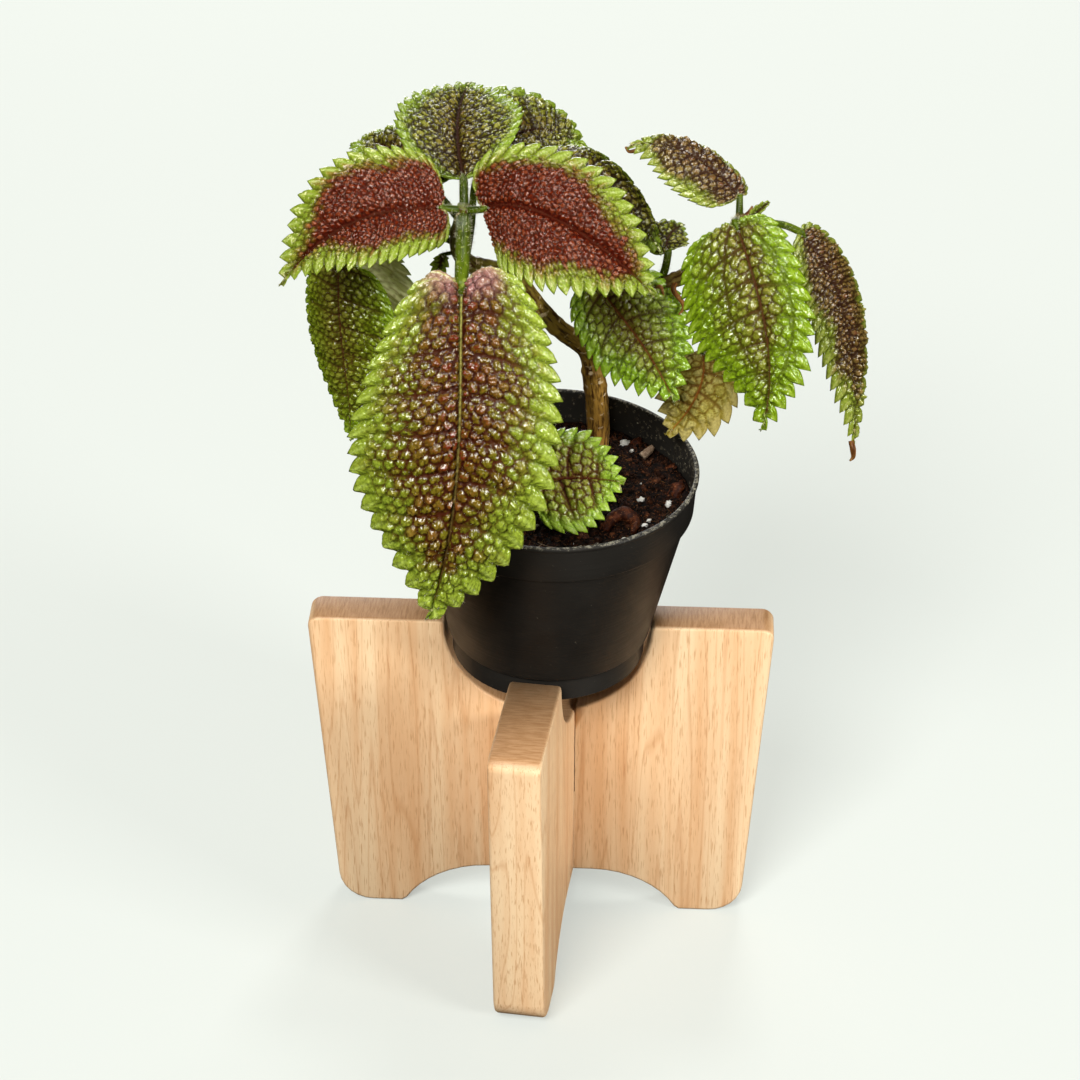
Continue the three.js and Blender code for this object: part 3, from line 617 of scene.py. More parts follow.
def makeLeafMaterials(palette):
    material, tree = startMaterial(palette["finish"])
    quilt = addNode(tree, "Attribute", attribute_name="quilt")
    zone = addNode(tree, "Attribute", attribute_name="zone")
    lengthwise = addNode(tree, "Attribute", attribute_name="lengthwise").outputs["Fac"]
    swell, vein, tint = addNode(tree, "SeparateColor", {0: quilt.outputs["Color"]}).outputs
    margin, toothVein, core = addNode(tree, "SeparateColor", {0: zone.outputs["Color"]}).outputs
    place = addNode(tree, "TexCoord").outputs["Object"]
    patches = addNode(tree, "TexNoise", {"Vector": place, "Scale": 1 / (9 * millimetre), "Detail": 3}).outputs[0]
    flecks = addNode(tree, "TexNoise", {"Vector": place, "Scale": 1 / (0.8 * millimetre), "Detail": 3}).outputs[0]
    level = addNode(tree, "Math", {0: flecks, 1: 0.7, 2: swell}, operation="MULTIPLY_ADD").outputs[0]

    # bubbles: vein, flank and top, each browner towards the midrib, with tops that vary from one to the next
    variety = addNode(tree, "Math", {0: tint, 1: patches}, operation="ADD").outputs[0]
    variety = addNode(tree, "MapRange", {0: variety, 1: 0.7, 2: 1.5}).outputs[0]
    # darker low on each bubble and paler on top: partly the leaf's colour, partly painted shade in the hollows
    edgeTop = addNode(tree, "MapRange", {0: level, 1: 0.45, 2: 0.95}).outputs[0]
    shades = {}
    for part, share in (("tops", variety), ("flank", core), ("vein", core), ("rib", lengthwise),
                        ("margin", edgeTop)):
        first, second = (toLinear(hexColour) for hexColour in palette[part])
        shades[part] = addNode(tree, "Mix", {0: share, 6: first, 7: second}, data_type="RGBA").outputs[2]
    # tops paler than flanks by height: partly painted shade, as above
    onTop = addNode(tree, "MapRange", {0: level, 1: 0.65, 2: 1.2}).outputs[0]
    onCore = addNode(tree, "Math", {0: core, 1: onTop}, operation="MULTIPLY").outputs[0]
    faint = addNode(tree, "Math", {0: toothVein, 1: 0.6}, operation="MULTIPLY").outputs[0]
    inner = addNode(tree, "MapRange", {0: margin, 3: 1, 4: 0.35}).outputs[0]
    veinShare = addNode(tree, "Math", {0: vein, 1: inner}, operation="MULTIPLY").outputs[0]
    colour = shades["flank"]
    for share, over in ((onTop, shades["tops"]), (onCore, toLinear(palette["coreTop"])),
                        (margin, shades["margin"]), (zone.outputs["Alpha"], toLinear(palette["blush"])),
                        (veinShare, shades["vein"]), (faint, toLinear(palette["toothVein"])),
                        (quilt.outputs["Alpha"], shades["rib"])):
        colour = addNode(tree, "Mix", {0: share, 6: colour, 7: over}, data_type="RGBA").outputs[2]
    brightness = addNode(tree, "MapRange", {0: flecks, 1: 0.3, 2: 0.7, 3: 0.8, 4: 1.2}).outputs[0]
    colour = addNode(tree, "HueSaturation", {"Value": brightness, "Color": colour}).outputs[0]

    # wet-looking tops, duller towards the veins; a withered leaf is dull all over
    top = palette.get("topRoughness", 0.22)
    rough = addNode(tree, "MapRange", {0: swell, 1: 0.05, 2: 0.45, 3: 0.7, 4: top}).outputs[0]
    coat = addNode(tree, "MapRange", {0: swell, 1: 0.12, 2: 0.5, 4: palette["coat"]}).outputs[0]
    flat = addNode(tree, "Attribute", attribute_name="flat").outputs["Vector"]
    creases = addNode(tree, "TexVoronoi", {"Vector": flat, "Scale": 0.45},
                      feature="DISTANCE_TO_EDGE").outputs[0]
    creased = addNode(tree, "Math", {0: flecks, 1: 0.25, 2: creases}, operation="MULTIPLY_ADD").outputs[0]
    bump = addNode(tree, "Bump", {"Strength": 1.0, "Distance": 0.7 * millimetre, "Height": creased}).outputs[0]
    upper = finishMaterial(material, {
        "Base Color": colour, "Roughness": rough, "Specular IOR Level": 0.25,
        "Specular Tint": toLinear(palette["gleam"]), "Coat Weight": coat, "Coat Roughness": 0.1, "Coat IOR": 1.65,
        "Normal": bump, "Coat Normal": bump})

    # the underside is paler and matte, with its veins standing out in a warmer colour
    material, tree = startMaterial(palette["finish"].split(",")[0] + " underside, matte")
    quilt = addNode(tree, "Attribute", attribute_name="quilt")
    vein = addNode(tree, "SeparateColor", {0: quilt.outputs["Color"]}).outputs[1]
    place = addNode(tree, "TexCoord").outputs["Object"]
    patches = addNode(tree, "TexNoise", {"Vector": place, "Scale": 1 / (6 * millimetre), "Detail": 4}).outputs[0]
    brightness = addNode(tree, "MapRange", {0: patches, 1: 0.3, 2: 0.7, 3: 0.8, 4: 1.15}).outputs[0]
    flesh, veins = (toLinear(hexColour) for hexColour in palette["under"])
    flesh = addNode(tree, "HueSaturation", {"Value": brightness, "Color": flesh}).outputs[0]
    veinShare = addNode(tree, "Math", {0: vein, 1: 0.6}, operation="MULTIPLY").outputs[0]
    colour = addNode(tree, "Mix", {0: veinShare, 6: flesh, 7: veins}, data_type="RGBA").outputs[2]
    return [upper, finishMaterial(material, {"Base Color": colour, "Roughness": 0.55, "Sheen Weight": 0.15})]


leafMaterials = {name: makeLeafMaterials(palette) for name, palette in palettes.items()}
leaves = {name: {**leafDefaults, **leaf} for name, leaf in leaves.items()}
blades = {name: makeBlade(name, leaf, leafMaterials[leaf["palette"]]) for name, leaf in leaves.items()}
print("blades ready:", sum(len(blade.data.polygons) for blade in blades.values()) * 4, "triangles")


# stem, branch and stalks

stems = {
    "main_stem": {
        "route": [(14, 24, 158), (18, 33, 186), (16.5, 30.5, 214), (14, 28.5, 226), (4, 21, 239),
                  (-4, 13, 254), (-8.5, 6, 265), (-16, -1, 273), (-24, -8, 279), (-27, -11, 288),
                  (-24.5, -12, 302.5)],
        "radii": (4.3, 4.2, 4.1, 3.7, 3.2, 3.2, 3.1, 3, 2.9, 2.8, 2.4), "sides": 40, "step": 0.6,
        "rings": [(0.355, 0.5, 1.3), (0.31, 0.25, 1.0), (0.52, 0.3, 1.2), (0.68, 0.35, 1.2),
                  (0.83, 0.4, 1.2), (0.94, 0.5, 1.2)], "lumps": 0.07,
    },
    "right_branch": {
        "route": [(12, 27, 228), (26, 26, 242), (38, 22, 255), (50, 18, 265), (60, 10, 279), (67, 4, 294)],
        "radii": (2.9, 2.7, 2.5, 2.5, 2.2, 2), "sides": 32, "step": 0.6,
        "rings": [(0.3, 0.3, 1.0), (0.52, 0.4, 1.0), (0.78, 0.3, 1.0), (0.96, 0.4, 1.0)], "lumps": 0.08,
    },
}


def smoothRoute(points, radii, step):
    # evenly spaced places on the smooth curve through the points, with the radius and distance at each
    points = np.array(points, float)
    padded = np.vstack([2 * points[0] - points[1], points, 2 * points[-1] - points[-2]])
    places, sizes = [], []
    for i in range(len(points) - 1):
        before, start, end, after = padded[i:i + 4]
        t = np.linspace(0, 1, 24, endpoint=False)[:, None]
        square, cube = 2 * before - 5 * start + 4 * end - after, 3 * start - before - 3 * end + after
        places.append(0.5 * (2 * start + (end - before) * t + square * t ** 2 + cube * t ** 3))
        sizes.append(radii[i] + (radii[i + 1] - radii[i]) * t[:, 0])
    places = np.vstack(places + [points[-1:]])
    sizes = np.append(np.concatenate(sizes), radii[-1])
    gone = np.concatenate([[0], np.cumsum(np.linalg.norm(np.diff(places, axis=0), axis=1))])
    even = np.linspace(0, gone[-1], max(3, round(gone[-1] / step) + 1))
    places = np.stack([np.interp(even, gone, places[:, k]) for k in range(3)], 1)
    return places, np.interp(even, gone, sizes), even


def makeTube(name, route, radii, sides=12, step=1.0, rings=(), lumps=0.03):
    # a closed round tube along the route; each ring is a swelling: its share of the length, height and width
    places, sizes, along = smoothRoute(route, radii, step)
    tangents = unit(np.gradient(places, axis=0))
    across = [np.cross(tangents[0], (0.3, 0.5, -0.8))]
    for tangent in tangents[1:]:
        across.append(across[-1] - tangent * (across[-1] @ tangent))
    across = unit(np.array(across))
    other = np.cross(tangents, across)
    mesh = gridMesh(name, sides, len(places) + 1)
    grid = readPoints(mesh)
    angle = grid[:, 0] * math.pi
    row = np.round((grid[:, 1] + 1) / 2 * (len(places) + 1)).astype(int) - 1
    closed = (row < 0) | (row >= len(places))
    row = np.clip(row, 0, len(places) - 1)
    share = along[row] / along[-1]
    swell = np.ones(len(row))
    for ringShare, height, width in rings:
        swell += height / sizes[row] * np.exp(-((share - ringShare) * along[-1] / width) ** 2)
    for i in range(len(row)):
        spot = Vector((math.cos(angle[i]) * 1.4, math.sin(angle[i]) * 1.4, along[row[i]] * 0.16))
        swell[i] += lumps * noise.noise(spot) + 0.6 * lumps * noise.noise(spot * 3.1)
    size = np.where(closed, 0, sizes[row] * swell)[:, None]
    writePoints(mesh, placed(places[row] + size * (across[row] * np.cos(angle)[:, None]
                                                  + other[row] * np.sin(angle)[:, None])))
    addValues(mesh, "wrap", np.cos(angle) * sizes[row], np.sin(angle) * sizes[row], along[row])
    addValues(mesh, "lengthwise", share)
    weld(mesh, 1e-6, outward=True)
    return mesh


def makeStemMaterial(name, lower, upper, streak, scar, gloss):
    # streaked skin, browner low down, with pale scars
    material, tree = startMaterial(name)
    share = addNode(tree, "Attribute", attribute_name="lengthwise").outputs["Fac"]
    wrap = addNode(tree, "Attribute", attribute_name="wrap").outputs["Vector"]
    stretched = addNode(tree, "Mapping", {"Vector": wrap, "Scale": (0.9, 0.9, 0.12)}).outputs[0]
    streaks = addNode(tree, "TexNoise", {"Vector": stretched, "Scale": 1.1, "Detail": 5,
                                         "Roughness": 0.65}).outputs[0]
    base = addNode(tree, "Mix", {0: share, 6: toLinear(lower), 7: toLinear(upper)}, data_type="RGBA").outputs[2]
    dark = addNode(tree, "MapRange", {0: streaks, 1: 0.46, 2: 0.6}).outputs[0]
    colour = addNode(tree, "Mix", {0: dark, 6: base, 7: toLinear(streak)}, data_type="RGBA").outputs[2]
    squashed = addNode(tree, "Mapping", {"Vector": wrap, "Scale": (0.3, 0.3, 0.5)}).outputs[0]
    scars = addNode(tree, "TexNoise", {"Vector": squashed, "Scale": 1.0, "Detail": 3}).outputs[0]
    pale = addNode(tree, "MapRange", {0: scars, 1: 0.6, 2: 0.68, 4: 0.8}).outputs[0]
    colour = addNode(tree, "Mix", {0: pale, 6: colour, 7: toLinear(scar)}, data_type="RGBA").outputs[2]
    bump = addNode(tree, "Bump", {"Strength": 0.6, "Distance": 0.4 * millimetre, "Height": streaks}).outputs[0]
    return finishMaterial(material, {"Base Color": colour, "Roughness": 0.32, "Specular IOR Level": gloss,
                                     "Normal": bump})


stemMaterials = {
    "main_stem": makeStemMaterial("golden brown stem bark, streaked",
                                  "#b8843c", "#5c6420", "#40240a", "#e4cca4", 0.4),
    "right_branch": makeStemMaterial("olive brown branch bark, streaked",
                                     "#6c4e28", "#68602c", "#38200a", "#b09060", 0.3),
}
stalkMaterial = makeStemMaterial("hairy green leaf stalk, satin", "#3e4e08", "#526210", "#2c3804", "#7e8a38", 0.14)
dryMaterial = makeStemMaterial("dried leaf base, papery", "#74481c", "#8a6030", "#46280e", "#b08c5a", 0.1)
for stemName, stem in stems.items():
    finishPiece(makeTube(stemName, **stem), stemName + "_bark", stemName, [stemMaterials[stemName]])
stalks = {}
for leafName, leaf in leaves.items():
    tucked, _ = onMidrib(leaf, np.array([0.0, 0.012, 0.04]))
    thick, thin = leaf["stalkRadii"]
    route = leaf["stalk"] + [tuple(point) for point in tucked]
    radii = np.append(np.linspace(thick, thin, len(route) - 2), (0.75 * thin, 0.3 * thin))
    tube = makeTube(leafName + "_stalk", route, radii, 16, 0.8)
    stalks[leafName] = finishPiece(tube, leafName + "_stalk", leafName, [stalkMaterial])

# a cut stub below the bend, dried leaf bases on the branch, a second bud, and two leaf tips, dried and curled
trimmings = {
    "cut_stub": {
        "on": "main_stem", "slot": "bark", "radii": (2.2, 2.3, 1.9),
        "route": [(14.5, 28.6, 224.4), (17, 27.4, 225.4), (19.4, 26, 226.4)],
    },
    "dried_curl": {
        "on": "right_branch", "slot": "bark", "radii": (1.1, 0.9, 0.7, 0.3),
        "route": [(39.5, 20.5, 257), (38.8, 17.5, 258.2), (40.2, 16, 259.4), (41.2, 15, 256.6)],
    },
    "dried_base": {
        "on": "right_branch", "slot": "bark", "radii": (1.2, 1, 0.8, 0.3),
        "route": [(45.5, 19, 260.5), (44.6, 16, 258.4), (48.2, 14, 253.6), (46.7, 13, 250.5)],
    },
    "bud_scale": {
        "on": "bud_leaf", "slot": "green_leaf", "radii": (1, 1.1, 0.3),
        "route": [(66.7, 4.6, 292), (69, 6, 293.8), (70.4, 7, 296.6)],
    },
    "hooked_tip": {
        "on": "right_back_leaf", "slot": "green_leaf", "radii": (0.7, 0.6, 0.25),
        "route": [(30.2, 23, 307.6), (27.9, 23, 307.2), (26.6, 23, 308.9)],
    },
    "curled_tip": {
        "on": "far_right_leaf", "slot": "red_leaf", "radii": (1, 1.1, 0.8, 0.3),
        "route": [(108.2, -2.5, 212), (109, -4, 209.5), (109.2, -5, 207), (108, -5.5, 205.6)],
    },
}
for trimName, trim in trimmings.items():
    tube = makeTube(trimName, trim["route"], trim["radii"], 12, 0.3, lumps=0.2)
    bark = stemMaterials["main_stem"] if trimName == "cut_stub" else dryMaterial
    finishPiece(tube, trimName, trim["on"], [bark])
print("stems ready")


# small loose things: hairs, crumbs, fibres, grit and chips are copies of one small shape


def manyOf(name, shape, count):
    pattern = addObject(name, shape)
    array = pattern.modifiers.new("copies", "ARRAY")
    array.count = count
    array.use_relative_offset = False
    return applied(pattern, name)


def turned(directions, spins):
    # axes for each copy: the third along its direction, the others turned round it by its spin
    helper = np.where(np.abs(directions[:, 2:]) < 0.9, (0.0, 0, 1), (1.0, 0, 0))
    first = unit(np.cross(helper, directions))
    second = np.cross(directions, first)
    cos, sin = np.cos(spins)[:, None], np.sin(spins)[:, None]
    return np.stack([first * cos + second * sin, second * cos - first * sin, directions], 1)


def placeCopies(mesh, count, places, axes, sizes):
    shape = readPoints(mesh).reshape(count, -1, 3)
    writePoints(mesh, placed((places[:, None] + np.einsum("nki,nij->nkj", shape * sizes[:, None], axes)
                              ).reshape(-1, 3)))
    return mesh


def hairShape():
    bm = bmesh.new()
    bmesh.ops.create_cone(bm, segments=3, radius1=1, radius2=0.35, depth=1, cap_ends=False,
                          matrix=Matrix.Translation((0, 0, 0.5)))
    return meshFrom(bm, "hair")


hairs = {
    "margin": {"share": 0.4, "lengths": (0.4, 1.1), "thickness": 0.03},
    "stalk": {"least": 60, "perMillimetre": 8, "lengths": (0.5, 1.1), "thickness": 0.05},
    "lean": 0.35, "pale": "#c9c79a", "palest": "#efe9d2",
}


def makeHairs(source, count, name, node, kind, seed):
    rng = np.random.default_rng(seed)
    mesh = source.data
    points = (readPoints(mesh) - np.array(standCentre)) / millimetre
    normals = np.empty(len(mesh.vertices) * 3)
    mesh.vertices.foreach_get("normal", normals)
    normals = normals.reshape(-1, 3)
    chosen = rng.choice(len(points), count)
    directions = unit(normals[chosen] + rng.normal(0, hairs["lean"], (count, 3)))
    thickness = np.full(count, kind["thickness"])
    sizes = np.stack([thickness, thickness, rng.uniform(*kind["lengths"], count)], 1)
    roots = points[chosen] - normals[chosen] * 0.05
    coat = placeCopies(manyOf(name, hairShape(), count), count, roots,
                       turned(directions, rng.uniform(0, 6, count)), sizes)
    return finishPiece(coat, name, node, [hairMaterial])


def makeHairMaterial():
    # short pale hairs, each a little glassy
    material, tree = startMaterial("pale plant hair, translucent")
    place = addNode(tree, "TexCoord").outputs["Object"]
    tone = addNode(tree, "TexNoise", {"Vector": place, "Scale": 1 / (5 * millimetre)}).outputs[0]
    colour = addNode(tree, "Mix", {0: tone, 6: toLinear(hairs["pale"]), 7: toLinear(hairs["palest"])},
                     data_type="RGBA").outputs[2]
    return finishMaterial(material, {"Base Color": colour, "Roughness": 0.35, "Transmission Weight": 0.2})


hairMaterial = makeHairMaterial()
for leafName, leaf in leaves.items():
    margin, stalk = hairs["margin"], hairs["stalk"]
    makeHairs(blades[leafName], round(margin["share"] * leaf["hairs"]), leafName + "_hairs", leafName,
              margin, leaf["seed"])
    stalkLength = round(math.dist(leaf["stalk"][0], leaf["ribPoints"][0]))
    makeHairs(stalks[leafName], stalk["least"] + stalk["perMillimetre"] * stalkLength,
              leafName + "_stalk_hairs", leafName, stalk, leaf["seed"] + 50)
print("hairs ready")


# pot

pot = {
    "base": 118, "lean": (1, 1.2), "shift": 2.6, "height": 77.7, "holes": 6, "holeRadius": 3.5, "holeRing": 24,
    "profile": [(0, 2.2), (28.8, 2.2), (31, 0), (34.6, 0), (35, 0.4), (35.4, 9.4), (36.4, 9.9), (36.9, 10.6),
                (48.6, 61.9), (48.9, 62.6), (49.2, 62.9), (50.2, 63.1), (50.5, 63.5), (51.1, 75.2),
                (51.5, 76.2), (51.8, 76.6), (51.8, 77.2), (51.5, 77.6), (51.2, 77.7), (50.4, 77.7),
                (50.1, 77.5), (49.9, 77), (49.3, 64.1), (47.7, 62.9), (35.6, 10.9), (34, 9.8), (32.6, 3.4),
                (0, 3.4)],
    "plastic": "#151210", "worn": "#2b2925", "dust": "#8f8a78",
}


def leaned(points):
    lean = Matrix.Rotation(math.radians(pot["lean"][1]), 3, "Y") @ Matrix.Rotation(
        math.radians(pot["lean"][0]), 3, "X")
    return points @ np.array(lean).T + (pot["shift"], 0, pot["base"])


def makePotMaterial():
    # black plastic, satin: scuffed grey, greyer collar, dust specks; a pale rim line of dust and painted highlight
    material, tree = startMaterial("black recycled plastic, satin and scuffed")
    place = addNode(tree, "TexCoord").outputs["Object"]
    heightUp = addNode(tree, "Attribute", attribute_name="heightUp").outputs["Fac"]
    plastic, worn, dust = (toLinear(pot[part]) for part in ("plastic", "worn", "dust"))
    cloud = addNode(tree, "TexNoise", {"Vector": place, "Scale": 1 / (18 * millimetre), "Detail": 5}).outputs[0]
    collar = addNode(tree, "MapRange", {0: heightUp, 1: 58, 2: 66}).outputs[0]
    collar = addNode(tree, "Math", {0: collar, 1: 0.5}, operation="MULTIPLY").outputs[0]
    grit = addNode(tree, "TexNoise", {"Vector": place, "Scale": 1 / (1.4 * millimetre), "Detail": 6,
                                      "Roughness": 0.75}).outputs[0]
    # the pale line along the very rim: dust thickened there, and a painted highlight on the rim's edge
    rimDustAndHighlight = addNode(tree, "MapRange", {0: heightUp, 1: 76.4, 2: 77.7, 3: 0.0, 4: 0.17}).outputs[0]
    level = addNode(tree, "Math", {0: grit, 1: rimDustAndHighlight}, operation="ADD").outputs[0]
    dustAndRimHighlight = addNode(tree, "MapRange", {0: level, 1: 0.66, 2: 0.74, 4: 0.75}).outputs[0]
    colour = plastic
    for share, over in ((cloud, worn), (collar, worn), (dustAndRimHighlight, dust)):
        colour = addNode(tree, "Mix", {0: share, 6: colour, 7: over}, data_type="RGBA").outputs[2]
    rough = addNode(tree, "MapRange", {0: cloud, 1: 0.3, 2: 0.7, 3: 0.36, 4: 0.52}).outputs[0]
    turning = addNode(tree, "Mapping", {"Vector": place, "Scale": (0.15, 0.15, 1.6)}).outputs[0]
    lines = addNode(tree, "TexNoise", {"Vector": turning, "Scale": 1 / (2 * millimetre), "Detail": 3}).outputs[0]
    bump = addNode(tree, "Bump", {"Strength": 0.25, "Distance": 0.3 * millimetre, "Height": lines}).outputs[0]
    return finishMaterial(material, {"Base Color": colour, "Roughness": rough, "Specular IOR Level": 0.16,
                                     "Normal": bump})


def makePot():
    bm = bmesh.new()
    profile = [bm.verts.new((radius, 0, height)) for radius, height in pot["profile"]]
    edges = [bm.edges.new(pair) for pair in zip(profile, profile[1:])]
    bmesh.ops.spin(bm, geom=profile + edges, cent=(0, 0, 0), axis=(0, 0, 1), steps=144,
                   angle=2 * math.pi, use_merge=True)
    bmesh.ops.remove_doubles(bm, verts=bm.verts, dist=0.001)
    bmesh.ops.recalc_face_normals(bm, faces=bm.faces)
    shell = addObject("shell", meshFrom(bm, "shell"))
    bm = bmesh.new()
    for i in range(pot["holes"]):
        turn = Matrix.Rotation(2 * math.pi * i / pot["holes"], 4, "Z")
        bmesh.ops.create_cone(bm, segments=32, radius1=pot["holeRadius"], radius2=pot["holeRadius"], depth=8,
                              cap_ends=True, matrix=turn @ Matrix.Translation((pot["holeRing"], 0, 3)))
    cutter = addObject("cutter", meshFrom(bm, "cutter"))
    drains = shell.modifiers.new("drains", "BOOLEAN")
    drains.operation = "DIFFERENCE"
    drains.object = cutter
    mesh = applied(shell, "pot")
    bpy.data.objects.remove(cutter)
    points = readPoints(mesh)
    addValues(mesh, "heightUp", points[:, 2])
    writePoints(mesh, placed(leaned(points)))
    finishPiece(mesh, "pot_shell", "pot", [makePotMaterial()])
    mesh.set_sharp_from_angle(angle=math.radians(38))


makePot()
print("pot ready")


# potting mix

mix = {
    "radius": 49.0, "level": 65.2, "grain": 0.75, "lumps": [(9, 1.3), (3.6, 0.9), (1.5, 0.45)],
    "side": [(48.9, 63.8), (47.3, 62), (35.1, 10.8), (33.4, 9.6), (32.4, 3.8)],
    "darkest": "#040100", "brown": "#2c1408", "crumb": "#74482a",
}


def mixHeight(x, y):
    height = mix["level"]
    for size, rise in mix["lumps"]:
        height += rise * noise.noise(Vector((x / size, y / size, size)))
    return height


def makeMixMaterial(name, darkest, brown, crumb, roughness=0.75):
    # peat: nearly black hollows, partly painted shade, with brown crumbs and a few paler fibres
    material, tree = startMaterial(name)
    place = addNode(tree, "TexCoord").outputs["Object"]
    crumbs = addNode(tree, "TexNoise", {"Vector": place, "Scale": 1 / (2.2 * millimetre), "Detail": 6,
                                        "Roughness": 0.7}).outputs[0]
    # the bump's low places stay darkest: painted shade in the hollows over the peat's own dark colour
    browner = addNode(tree, "MapRange", {0: crumbs, 1: 0.46, 2: 0.64}).outputs[0]
    specks = addNode(tree, "TexNoise", {"Vector": place, "Scale": 1 / (0.7 * millimetre), "Detail": 3}).outputs[0]
    specks = addNode(tree, "MapRange", {0: specks, 1: 0.6, 2: 0.7, 4: 0.8}).outputs[0]
    colour = toLinear(darkest)
    for share, over in ((browner, brown), (specks, crumb)):
        colour = addNode(tree, "Mix", {0: share, 6: colour, 7: toLinear(over)}, data_type="RGBA").outputs[2]
    bump = addNode(tree, "Bump", {"Strength": 0.9, "Distance": 0.5 * millimetre, "Height": crumbs}).outputs[0]
    return finishMaterial(material, {"Base Color": colour, "Roughness": roughness, "Specular IOR Level": 0.12,
                                     "Normal": bump})


def makeMix():
    cells = round(2 * mix["radius"] / mix["grain"])
    bm = bmesh.new()
    bmesh.ops.create_grid(bm, x_segments=cells, y_segments=cells, size=1)
    for vertex in bm.verts:
        x, y = vertex.co.x, vertex.co.y
        vertex.co.x = mix["radius"] * x * math.sqrt(1 - y * y / 2)
        vertex.co.y = mix["radius"] * y * math.sqrt(1 - x * x / 2)
        vertex.co.z = mixHeight(vertex.co.x, vertex.co.y)
    rim = [edge for edge in bm.edges if edge.is_boundary]
    for radius, height in mix["side"]:
        grown = bmesh.ops.extrude_edge_only(bm, edges=rim)["geom"]
        for vertex in [item for item in grown if isinstance(item, bmesh.types.BMVert)]:
            vertex.co.xy = vertex.co.xy.normalized() * radius
            vertex.co.z = height
        rim = [item for item in grown if isinstance(item, bmesh.types.BMEdge)]
    bmesh.ops.holes_fill(bm, edges=rim, sides=0)
    bmesh.ops.triangulate(bm, faces=[face for face in bm.faces if len(face.verts) > 4])
    bmesh.ops.recalc_face_normals(bm, faces=bm.faces)
    mesh = meshFrom(bm, "potting_mix")
    writePoints(mesh, placed(leaned(readPoints(mesh))))
    finishPiece(mesh, "mix_body", "potting_mix", [mixMaterials["peat"]])


mixMaterials = {
    "peat": makeMixMaterial("damp dark peat, matte", mix["darkest"], mix["brown"], mix["crumb"]),
    "crumb": makeMixMaterial("peat crumbs, matte", "#0a0401", "#381c0c", "#6a4020"),
    "bark": makeMixMaterial("composted bark chip, matte", "#2c1408", "#5c3218", "#8a5a38", 0.6),
    "redBark": makeMixMaterial("damp reddish bark chip, satin", "#2a1006", "#5c2e16", "#8a5836", 0.5),
    "paleBark": makeMixMaterial("dry curled bark, matte", "#7a6450", "#a48c74", "#cbb8a0", 0.6),
    "fibre": makeMixMaterial("dry coir fibre, matte", "#4c3016", "#80582e", "#b08c5c", 0.6),
    "dust": makeMixMaterial("dried splash of potting mix, matte", "#26221c", "#5e584a", "#a09884", 0.8),
    "perlite": makeMixMaterial("white perlite grain, chalky", "#c8c6bc", "#e8e6de", "#f4f3ee", 0.9),
}
makeMix()


def pebbleShape(detail, seed, roughness=0.5):
    bm = bmesh.new()
    bmesh.ops.create_icosphere(bm, subdivisions=detail, radius=1)
    for vertex in bm.verts:
        vertex.co *= 1 + roughness * noise.noise(vertex.co * 1.6 + Vector((seed, 0, 0)))
    return meshFrom(bm, "pebble")


def fibreShape():
    # one length unit long and thin, with a slight bow
    bm = bmesh.new()
    bmesh.ops.create_grid(bm, x_segments=3, y_segments=6, size=1)
    for vertex in bm.verts:
        angle, along = vertex.co.x * math.pi, vertex.co.y
        thick = 0.02 * (1 - along * along * 0.9)
        vertex.co = (0.18 * along * along + thick * math.cos(angle), thick * math.sin(angle), 0.5 * along)
    bmesh.ops.remove_doubles(bm, verts=bm.verts, dist=1e-5)
    bmesh.ops.holes_fill(bm, edges=[edge for edge in bm.edges if edge.is_boundary], sides=0)
    bmesh.ops.recalc_face_normals(bm, faces=bm.faces)
    return meshFrom(bm, "fibre")


def onMix(x, y, above=0.0):
    # places on the mix's surface, for positions from the pot's axis
    heights = np.array([mixHeight(px, py) for px, py in zip(x, y)])
    return leaned(np.stack([x, y, heights + above], 1))


def scatterBits(name, bits):
    rng = np.random.default_rng(bits["seed"])
    count = bits["count"]
    ring = mix["radius"] * 0.97 * np.sqrt(rng.uniform(0, 1, count))
    angle = rng.uniform(0, 2 * math.pi, count)
    size = rng.uniform(*bits["sizes"], count) * rng.uniform(0.5, 1, count)
    directions = unit(rng.normal(0, 1, (count, 3)) * (1, 1, bits["upright"]))
    stretch = np.stack([size * rng.uniform(0.6, 1, count), size * rng.uniform(0.6, 1, count), size], 1)
    places = onMix(ring * np.cos(angle), ring * np.sin(angle), bits["above"])
    shape = fibreShape() if bits["material"] == "fibre" else pebbleShape(1, bits["seed"] - 10)
    mesh = placeCopies(manyOf(name, shape, count), count, places,
                       turned(directions, rng.uniform(0, 6, count)), stretch)
    finishPiece(mesh, name, "potting_mix", [mixMaterials[bits["material"]]], smooth=False)


# how many bits, the range of their half sizes, how much they stand up, and how far above the mix they lie
scattered = {
    "crumbs": {"material": "crumb", "count": 1100, "sizes": (0.5, 1.7), "upright": 1, "above": 0, "seed": 11},
    "dark_crumbs": {"material": "peat", "count": 800, "sizes": (0.6, 2.2), "upright": 1, "above": 0, "seed": 12},
    "bark_bits": {"material": "bark", "count": 220, "sizes": (0.6, 2), "upright": 0.3, "above": 0, "seed": 13},
    "perlite_specks": {"material": "perlite", "count": 44, "sizes": (0.3, 0.7), "upright": 1, "above": 0.4,
                       "seed": 14},
    "fibres": {"material": "fibre", "count": 420, "sizes": (2.5, 7), "upright": 0.25, "above": 0.6, "seed": 15},
}
for bitsName, bits in scattered.items():
    scatterBits(bitsName, bits)


